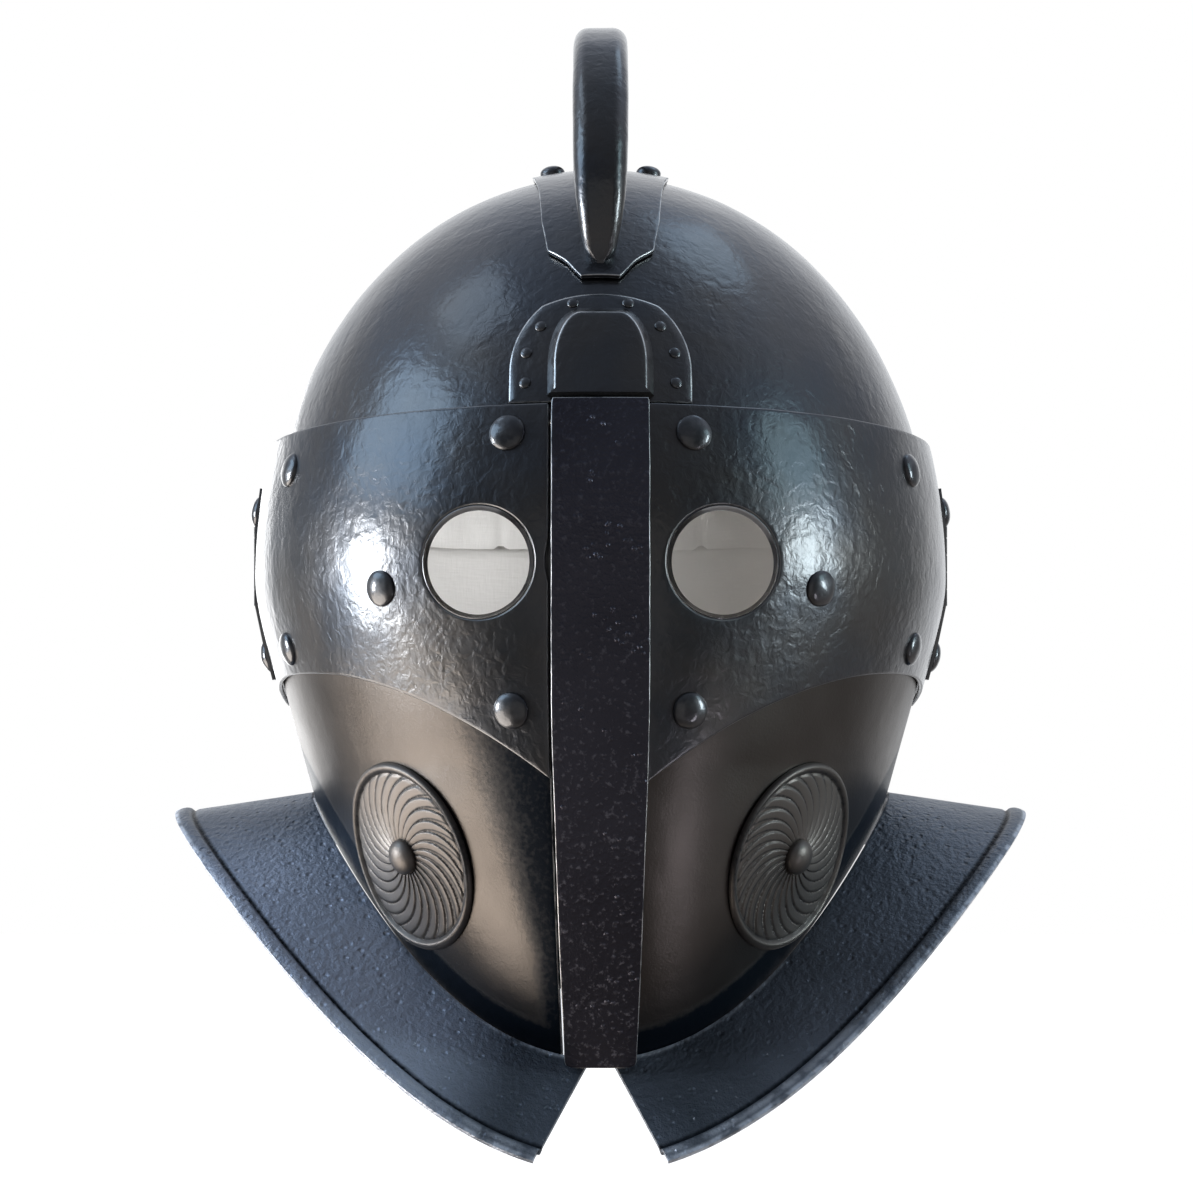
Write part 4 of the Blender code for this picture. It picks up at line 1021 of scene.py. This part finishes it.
def make_all_rivets():
    for label, side in SIDES:
        visor = [(azimuth_at_x(side * x, z), z) for x, z in VISOR_RIVETS]
        turned_by = side * (pi / 2 + asin(HINGE_RIVETS_Y / FORM_HALF_WIDTH))
        hinge = [(turned_by, z) for z in HINGE_RIVETS_Z]
        both = seats(visor, VISOR_OUT - 0.0002, 0.0023) + seats(hinge, LEAF_OUT - STRAP_THINNED, 0.0030)
        make_rivets(label + "_visor_rivets", label + "_door", label + "_visor_rivet", both, 0.0055)
        azimuth = side * (pi / 2 + atan2(LEAF_RIVETS_Y, FORM_HALF_WIDTH))
        leaf = seats([(azimuth, z) for z in LEAF_RIVETS_Z], LEAF_SHEET + GAP, 0.0019)
        make_rivets(label + "_leaf_rivets", "bowl", label + "_leaf_rivet", leaf, 0.0035)
    brow = [(azimuth_at_x(side * x, z), z) for side in (1, -1) for x, z in BROW_RIVETS]
    make_rivets("brow_studs", "bowl", "brow_rivet", seats(brow, BROW_OUT, 0.0009), 0.00185, 24)
    neck = [(azimuth, skull_bottom(azimuth) + GUARD_LIP / 2) for azimuth in NECK_RIVETS_AZIMUTH]
    make_rivets("neck_studs", "bowl", "neck_rivet", seats(neck, BROW_OUT, 0.0019), 0.0035)
    crest = []
    for y in (-CREST_RIVET_Y, CREST_RIVET_Y):
        for x in (CREST_RIVET_X, -CREST_RIVET_X):
            height = dome_height(x, y, SADDLE_OUT)
            direction = form_normal(atan2(x, -y), height)
            crest.append((Vector((x, y, height)), direction, 0.0029))
    make_rivets("crest_studs", "bowl", "crest_rivet", crest, 0.0042)


# ------------- brow

def arc(centre, radii, start, end, count):
    """Points on an ellipse's arc, angles in degrees from the across axis."""
    angles = [radians(start + (end - start) * index / count) for index in range(count + 1)]
    return [(centre[0] + radii[0] * cos(angle), centre[1] + radii[1] * sin(angle))
            for angle in angles]


def side_and_foot(half_width, bottom, top, count=14):
    """The straight foot from the middle and the straight side up to where the arcs start."""
    foot = [(half_width * step / count, bottom) for step in range(1, count)]
    side = [(half_width, bottom + (top - bottom) * step / count) for step in range(count)]
    return [(0.0, bottom)] + foot + side


def both_sides(half):
    """A closed outline from its right half, listed bottom to top."""
    return half + [(-across, up) for across, up in reversed(half) if across > 1e-9]


def brow_outline():
    shoulder_centre = (BROW_HALF_WIDTH - BROW_SHOULDER_RADIUS, BROW_SHOULDER)
    corner = degrees(acos((BROW_CORNER - shoulder_centre[0]) / BROW_SHOULDER_RADIUS))
    rise = degrees(acos(BROW_CORNER / BROW_TOP_RADIUS))
    half = side_and_foot(BROW_HALF_WIDTH, BROW_BOTTOM, BROW_SHOULDER)
    half += arc(shoulder_centre, (BROW_SHOULDER_RADIUS,) * 2, 0, corner, 24)
    half += arc((0.0, BROW_TOP - BROW_TOP_RADIUS), (BROW_TOP_RADIUS,) * 2, rise, 90, 20)[1:]
    return both_sides(half)


def tongue_outline():
    half = side_and_foot(TONGUE_HALF_WIDTH, TONGUE_BOTTOM, TONGUE_SHOULDER)
    half += arc((TONGUE_FLAT, TONGUE_SHOULDER),
                (TONGUE_HALF_WIDTH - TONGUE_FLAT, TONGUE_TOP - TONGUE_SHOULDER), 0, 90, 36)
    half += [(TONGUE_FLAT * (1 - step / 6), TONGUE_TOP) for step in range(1, 7)]
    return both_sides(half)


def inset(outline, distance, foot):
    """The outline drawn in by a distance, but at its straight foot by no more than foot."""
    count = len(outline)
    bottom = min(up for _, up in outline)
    moved = []
    for index, (across, up) in enumerate(outline):
        before, after = outline[index - 1], outline[(index + 1) % count]
        run, rise = after[0] - before[0], after[1] - before[1]
        length = hypot(run, rise)
        new_up = up + run / length * distance
        if up < bottom + 1e-6:
            new_up = bottom
        moved.append((across - rise / length * distance, max(new_up, bottom + min(distance, foot))))
    return moved


def brow_pad(name, outline, levels, node, worn_from):
    """A plate on the brow: levels are (inset, distance from the form), back to front.

    The ring of faces that ends at level number worn_from is its rubbed edge."""
    centre = (0.0, sum(up for _, up in outline) / len(outline))
    inner_shares = [step / 12 for step in range(12, 0, -1)]
    back = levels[0]
    rings = [(inset(outline, back[0], 0.0006), back[1], share) for share in reversed(inner_shares)]
    rings += [(inset(outline, distance, 0.0006), out, 1.0) for distance, out in levels[1:]]
    front = rings[-1]
    worn_ring = len(inner_shares) + worn_from - 3
    rings += [(front[0], front[1], share) for share in inner_shares[1:]]

    bm = bmesh.new()
    loops = []
    for points, out, share in rings:
        loops.append([bm.verts.new(front_point(centre[0] + (across - centre[0]) * share,
                                               centre[1] + (up - centre[1]) * share, out))
                      for across, up in points])
    count = len(outline)
    for number, (first, last) in enumerate(zip(loops, loops[1:])):
        for index in range(count):
            following = (index + 1) % count
            face = bm.faces.new((first[index], first[following], last[following], last[index]))
            face.material_index = int(number == worn_ring)
    bm.faces.new(loops[0])
    bm.faces.new(loops[-1])
    bmesh.ops.recalc_face_normals(bm, faces=bm.faces)
    push_out(bm, hand_planished)
    smooth_but(piece(name, bm, "bowl", [node], HAMMERED, WORN), 38)


def make_brow():
    thin = [(0.0, GAP), (0.0, GAP), (0.0, BROW_OUT - 0.0003), (0.0004, BROW_OUT)]
    brow_pad("brow_horseshoe", brow_outline(), thin, "brow_plate", 4)
    thick = [(0.0, BROW_OUT - 0.0002), (0.0, BROW_OUT - 0.0002), (0.0002, BROW_OUT + 0.0004),
             (0.0021, TONGUE_OUT - 0.0005), (0.0025, TONGUE_OUT - 0.0001), (0.0030, TONGUE_OUT)]
    brow_pad("brow_boss", tongue_outline(), thick, "brow_tongue", 5)


# ------------- crest

def saddle_half_width(y):
    """The saddle's half width, straight between its stations."""
    along = abs(y)
    for (first, width), (last, next_width) in zip(SADDLE_STATIONS, SADDLE_STATIONS[1:]):
        if along <= last:
            return width + (next_width - width) * (along - first) / (last - first)
    return SADDLE_STATIONS[-1][1]


def make_saddle():
    reach, _ = SADDLE_STATIONS[-1]
    last_turn = asin(reach / FORM_FRONT)

    def place(u, v):
        y = max(-reach, min(reach, FORM_FRONT * sin(last_turn * (2 * v - 1))))
        x = (2 * u - 1) * saddle_half_width(y)
        return Vector((x, y, dome_height(x, y, SADDLE_OUT)))

    bm = sheet(36, 190, place)
    push_out(bm, lambda point: hand_planished(point) - 0.0001)
    saddle = piece("crest_base", bm, "bowl", ["crest_saddle"], HAMMERED, WORN)
    thicken(saddle, SADDLE_SHEET, 0.0006, 3)


def curve_guide(name, points, order=None):
    """A curve object: a smooth line of that order, or without one a closed flat outline.

    The points are (x, y, z, share of the section)."""
    curve = bpy.data.curves.new(name, "CURVE")
    curve.dimensions = "3D" if order else "2D"
    spline = curve.splines.new("NURBS" if order else "POLY")
    spline.points.add(len(points) - 1)
    for point, (x, y, z, share) in zip(spline.points, points):
        point.co = (x, y, z, 1.0)
        point.radius = share
    if order:
        spline.order_u = order
        spline.use_endpoint_u = True
    spline.use_cyclic_u = not order
    return placed(name, curve)


def make_crest():
    outline = []
    for quarter, (right, up) in enumerate(((1, 1), (-1, 1), (-1, -1), (1, -1))):
        centre = (right * (CREST_HALF_WIDTH - CREST_CORNER), up * (CREST_HALF_DEPTH - CREST_CORNER))
        outline += arc(centre, (CREST_CORNER,) * 2, 90 * quarter, 90 * quarter + 90, 8)
    outline_guide = curve_guide("crest_section", [(x, y, 0.0, 1.0) for x, y in outline])
    line_guide = curve_guide("crest_line", [(0.0, y, z, share) for y, z, share in CREST_LINE], 4)
    line = line_guide.data
    line.bevel_mode = "OBJECT"
    line.bevel_object = outline_guide
    line.use_fill_caps = True
    line.twist_mode = "MINIMUM"
    line.splines[0].resolution_u = 22
    mesh = evaluated_mesh(line_guide)
    bpy.data.objects.remove(line_guide)
    bpy.data.objects.remove(outline_guide)
    bm = bmesh.new()
    bm.from_mesh(mesh)
    bpy.data.meshes.remove(mesh)
    bmesh.ops.remove_doubles(bm, verts=bm.verts, dist=1e-6)
    bmesh.ops.recalc_face_normals(bm, faces=bm.faces)
    for vertex in bm.verts:
        if vertex.co.y < -0.06:
            across = min(1.0, abs(vertex.co.x) / CREST_HALF_WIDTH)
            vertex.co.y -= 0.0014 * (1.0 - across ** 2) * smooth_step((0.160 - vertex.co.z) / 0.03)
        if vertex.co.y < -0.08 and vertex.co.z < CREST_FOOT_TOP:
            drop = min(1.0, (CREST_FOOT_TOP - vertex.co.z) / CREST_FOOT_ROUND)
            vertex.co.x *= 0.30 + 0.70 * sqrt(1.0 - 0.98 * drop * drop)
    push_out(bm, lambda point: forged(point) - 0.0002 - crest_dimples(point))
    crest = piece("crest_loop", bm, "bowl", ["crest_arch"], HAMMERED, WORN)
    cut_by_dome(crest)
    smooth_but(crest, 50)


def crest_dimples(point):
    """Depth of the two dimples punched low on the front foot."""
    centres = [Vector((side * 0.0036, -0.1052, 0.0985)) for side in (1, -1)]
    return sum(0.0011 * smooth_step(1.0 - (point - centre).length / 0.0030) for centre in centres)


def cut_by_dome(crest):
    """End the arch's feet on the saddle's surface."""
    def place(u, v):
        height = (FORM_TOP + SADDLE_OUT) * sin(pi / 2 * v) if v > 0 else -0.01
        return form_point(2 * pi * u, height, SADDLE_OUT - 0.0002)

    bm = sheet(96, 48, place, closed=True)
    bmesh.ops.remove_doubles(bm, verts=bm.verts, dist=1e-6)
    bmesh.ops.holes_fill(bm, edges=[edge for edge in bm.edges if edge.is_boundary])
    bmesh.ops.recalc_face_normals(bm, faces=bm.faces)
    cutter = placed("dome_cutter", mesh_of("dome_cutter", bm))
    modifier = crest.modifiers.new("feet", "BOOLEAN")
    modifier.operation = "DIFFERENCE"
    modifier.solver = "MANIFOLD"
    modifier.object = cutter
    apply_modifiers(crest)
    bpy.data.objects.remove(cutter)


# ------------- lining

def cap_edge(azimuth):
    """How low the cap's edge is: over the brow in front, down to the seam behind."""
    back = (1.0 - cos(azimuth)) / 2
    return LINER_BROW + (LINER_SEAM - LINER_BROW) * smooth_step((back - 0.46) / 0.14)


def quilting(point):
    """1 on a stitched line, falling to 0 a few millimetres away."""
    radius = hypot(point.x, point.y)
    across = atan2(point.x, -point.y) / (2 * pi) * QUILT_GORES
    from_gore = abs((across + 0.5) % 1.0 - 0.5) / QUILT_GORES * 2 * pi * radius
    from_row = abs(((point.z - QUILT_FIRST) / QUILT_ROW + 0.5) % 1.0 - 0.5) * QUILT_ROW
    on_gore = (1.0 - smooth_step(from_gore / STITCH_REACH)) * smooth_step((radius - 0.022) / 0.012)
    return max(on_gore, 1.0 - smooth_step(from_row / STITCH_REACH))


def swell(pad):
    """Fill the pad: a short cloth simulation in which its stitched lines stay put."""
    held = pad.vertex_groups.new(name="held")
    before = [vertex.co.copy() for vertex in pad.data.vertices]
    for vertex in pad.data.vertices:
        stays = quilting(vertex.co) > 0.45 or abs(vertex.co.z - LINER_SEAM) < 0.010
        held.add([vertex.index], 1.0 if stays else 0.0, "REPLACE")
    cloth = pad.modifiers.new("filling", "CLOTH")
    cloth.settings.use_pressure = True
    cloth.settings.uniform_pressure_force = 4.0
    cloth.settings.effector_weights.gravity = 0.0
    cloth.settings.vertex_group_mass = "held"
    cloth.settings.quality = 4
    cloth.point_cache.frame_start = 1
    cloth.point_cache.frame_end = SWELL_FRAMES
    for number in range(1, SWELL_FRAMES + 1):
        bpy.context.scene.frame_set(number)
    apply_modifiers(pad)
    bpy.context.scene.frame_set(1)
    pad.vertex_groups.clear()
    for vertex, start in zip(pad.data.vertices, before):
        moved = vertex.co - start
        if moved.length > SWELL_LIMIT:
            vertex.co = start + moved * (SWELL_LIMIT / moved.length)


def make_pad(name, node, columns, rows, place, closed):
    """A quilted pad on the bowl's inside, from the middle form that place(u, v) gives."""
    bm = sheet(columns, rows, place, closed)
    bmesh.ops.remove_doubles(bm, verts=bm.verts, dist=1e-6)
    pad = piece(name, bm, "bowl", [node], LINEN)
    thickness = pad.modifiers.new("thickness", "SOLIDIFY")
    thickness.thickness = PAD_THICKNESS
    thickness.offset = -1.0
    remesh = pad.modifiers.new("weave", "REMESH")
    remesh.mode = "VOXEL"
    remesh.voxel_size = PAD_VOXEL
    apply_modifiers(pad)
    swell(pad)
    pad.modifiers.new("rounding", "SUBSURF").levels = 1
    apply_modifiers(pad)
    bm = bmesh.new()
    bm.from_mesh(pad.data)
    push_out(bm, lambda point: 0.0002 * lumps(point, 0.012) - 0.0007 * quilting(point))
    bm.to_mesh(pad.data)
    bm.free()
    pad.data.shade_smooth()


def make_tape():
    """The linen tape sewn over the joint of the two pads, on the side of the head."""
    def place(u, v):
        height = QUILT_FIRST + (LINER_SEAM + TAPE_OVER_SEAM - QUILT_FIRST) * v
        sewn_down = TAPE_SEWN_IN * smooth_step(abs(v - 0.5) / 0.1 - 4.0)
        return form_point(around_back(NAPE_PAD_FROM, u), height, PAD_OUT - PAD_THICKNESS - GAP + sewn_down)

    tape = piece("seam_tape", sheet(140, 12, place), "bowl", [], LINEN)
    thicken(tape, 0.0003, 0.0001, 1)


def make_lining():
    def cap_place(u, v):
        azimuth = 2 * pi * u
        start = asin(cap_edge(azimuth) / (FORM_TOP + PAD_OUT))
        height = (FORM_TOP + PAD_OUT) * sin(start + (pi / 2 - start) * v)
        return form_point(azimuth, height, PAD_OUT)

    def nape_place(u, v):
        height = NAPE_PAD_BOTTOM + (LINER_SEAM - 0.0004 - NAPE_PAD_BOTTOM) * v
        return form_point(around_back(NAPE_PAD_FROM, u), height, PAD_OUT)

    make_tape()
    make_pad("quilted_cap", "liner_cap", 120, 44, cap_place, True)
    make_pad("nape_cushion", "nape_pad", 80, 24, nape_place, False)


# ------------- hinges and catch

def hammered_thin(vertex):
    """The strap is beaten thinner where it lies on the visor, so that it hugs it."""
    if vertex.co.y < -0.001 and abs(vertex.co.x) > FORM_HALF_WIDTH + LEAF_OUT - 0.5 * LEAF_SHEET:
        vertex.co.x -= copysign(STRAP_THINNED, vertex.co.x)


def refined_copy(name, node, body, edge=0.00022, reshape=None):
    """The CAD node's own shape with its flat faces whole again and its edges broken."""
    bm = bmesh.new()
    bm.from_mesh(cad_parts[node].data)
    bmesh.ops.remove_doubles(bm, verts=bm.verts, dist=2e-6)
    bmesh.ops.dissolve_limit(bm, angle_limit=radians(1.0), verts=bm.verts, edges=bm.edges)
    for vertex in bm.verts if reshape else []:
        reshape(vertex)
    made = piece(name, bm, body, [node], BARE)
    soften(made, edge, 2, 42)
    made.data.set_sharp_from_angle(angle=radians(45))


def make_hinges_and_catch():
    for label, _ in SIDES:
        refined_copy(label + "_hinge_plate", label + "_hinge_fixed_leaf", "bowl")
        refined_copy(label + "_hinge_strap", label + "_hinge_moving_leaf", label + "_door",
                     0.00025, hammered_thin)
        refined_copy(label + "_hinge_pintle", label + "_hinge_pin", "bowl")
    refined_copy("latch_fork", "catch_fork", "left_door")
    refined_copy("latch_tongue", "catch_tongue", "right_door")


make_skull()
make_neck_guard()
make_brow()
make_saddle()
make_crest()
make_hinges_and_catch()
make_lining()
for label, side in SIDES:
    make_face_plate(label, side)
    make_visor(label, side)
    make_collar(label, side)
    make_rosette(label, side)
make_seam_lip()
make_bar()
make_all_rivets()


# ------------- studio

def make_floor():
    bm = bmesh.new()
    bmesh.ops.create_grid(bm, x_segments=8, y_segments=8, size=6.0)
    floor = placed("floor", mesh_of("floor", bm))
    floor.location = (0, 0, -0.75)
    made = Skin("pale_floor")
    for name, value in (("Base Color", (0.9, 0.9, 0.9, 1.0)), ("Roughness", 0.9),
                        ("Emission Color", (1.0, 1.0, 1.0, 1.0)), ("Emission Strength", 1.0)):
        made.feed(made.sockets[name], value)
    floor.data.materials.append(made.material)
    floor.visible_glossy = False
    floor.visible_diffuse = False


def softbox(name, azimuth, elevation, distance, size, power, colour, aim=(0, 0, 0), spread=180):
    """An area light in a direction from the helmet, aimed at it."""
    turn, tilt = radians(azimuth), radians(elevation)
    flat = cos(tilt)
    place = Vector((sin(turn) * flat, -cos(turn) * flat, sin(tilt))) * distance
    light = bpy.data.lights.new(name, "AREA")
    light.shape = "RECTANGLE"
    light.size, light.size_y = size
    light.energy = power
    light.color = colour
    light.spread = radians(spread)
    lamp = placed(name, light)
    lamp.location = place
    lamp.rotation_euler = (Vector(aim) - place).to_track_quat("-Z", "Y").to_euler()
    lamp.visible_camera = False


def make_world():
    """A white room for the camera; a dim one, cool above and warm below, for the steel."""
    world = bpy.data.worlds.new("studio")
    bpy.context.scene.world = world
    world.use_nodes = True
    world.node_tree.nodes.clear()
    made = Nodes(world.node_tree, "Generated")
    parts = made.new("ShaderNodeSeparateXYZ", Vector=made.place).outputs
    tones = made.new("ShaderNodeValToRGB", Fac=made.spread(parts["Z"], -1.0, 1.0))
    stops = [(0.0, (0.36, 0.32, 0.29)), (0.18, (0.30, 0.28, 0.28)), (0.35, (0.19, 0.18, 0.18)),
             (0.50, (0.17, 0.18, 0.19)), (0.65, (0.19, 0.20, 0.23)), (0.88, (0.41, 0.45, 0.54)),
             (1.0, (0.22, 0.26, 0.33))]
    ramp = tones.color_ramp.elements
    while len(ramp) < len(stops):
        ramp.new(0.5)
    for element, (at, colour) in zip(ramp, stops):
        element.position = at
        element.color = (*colour, 1)
    dimmed = made.new("ShaderNodeVectorMath")
    dimmed.operation = "SCALE"
    made.feed(dimmed.inputs[0], tones.outputs["Color"])
    made.feed(dimmed.inputs["Scale"], made.spread(parts["Y"], -0.50, 0.10, 0.35, 1.0))
    behind = made.spread(parts["Y"], 0.58, 0.95)
    colour = made.blend(behind, dimmed.outputs["Vector"], (0.95, 0.97, 1.0))
    room = made.new("ShaderNodeBackground", Color=colour, Strength=1.0)
    seen = made.new("ShaderNodeBackground", Color=(1.0, 1.0, 1.0, 1.0), Strength=1.0)
    camera_sees = made.new("ShaderNodeLightPath").outputs["Is Camera Ray"]
    mix = made.new("ShaderNodeMixShader", Fac=camera_sees)
    made.feed(mix.inputs[1], room.outputs["Background"])
    made.feed(mix.inputs[2], seen.outputs["Background"])
    made.new("ShaderNodeOutputWorld", Surface=mix.outputs["Shader"])


def make_lights():
    softbox("window_left", -84, -2, 1.6, (0.40, 0.52), 19, (0.90, 0.95, 1.0))
    softbox("window_right", 74, 3, 1.6, (0.30, 0.46), 7, (0.80, 0.94, 1.0))
    softbox("sky_left", -80, 29, 1.8, (1.1, 0.8), 7.4, (0.54, 0.76, 1.0))
    softbox("sky_over_left", -92, 58, 1.8, (0.7, 0.5), 1.4, (0.62, 0.80, 1.0))
    softbox("sky_over_right", 130, 62, 1.8, (0.7, 0.5), 1.1, (0.56, 0.78, 1.0))
    softbox("glow_right", 72, 24, 1.8, (0.6, 0.6), 2.0, (0.60, 0.90, 1.0))
    softbox("rim_left", -154, -6, 2.0, (0.8, 1.3), 5.5, (1.0, 1.0, 1.0))
    softbox("bounce_left", -86, -36, 1.4, (1.25, 0.85), 13.2, (1.0, 0.91, 0.82))
    softbox("bounce_right", 50, -31, 1.4, (0.08, 0.44), 0.75, (0.93, 0.90, 1.0))
    softbox("room_front", 0, -12, 2.5, (2.5, 2.5), 3.0, (1.0, 0.99, 1.0))
    softbox("lining_fill", -20, -74, 0.50, (0.06, 0.06), 0.16, (1.0, 1.0, 1.0), (-0.105, 0.12, 0.0), 30)


def make_camera():
    data = bpy.data.cameras.new("camera")
    data.sensor_width = 36.0
    data.lens = 73.7
    data.shift_x = -0.0034
    data.shift_y = 0.070
    camera = placed("camera", data)
    camera.location = (0.0, -0.850, -0.034)
    camera.rotation_euler = (radians(90), 0, 0)
    bpy.context.scene.camera = camera


make_floor()
make_world()
make_lights()
make_camera()
bpy.context.scene.view_settings.view_transform = "Standard"
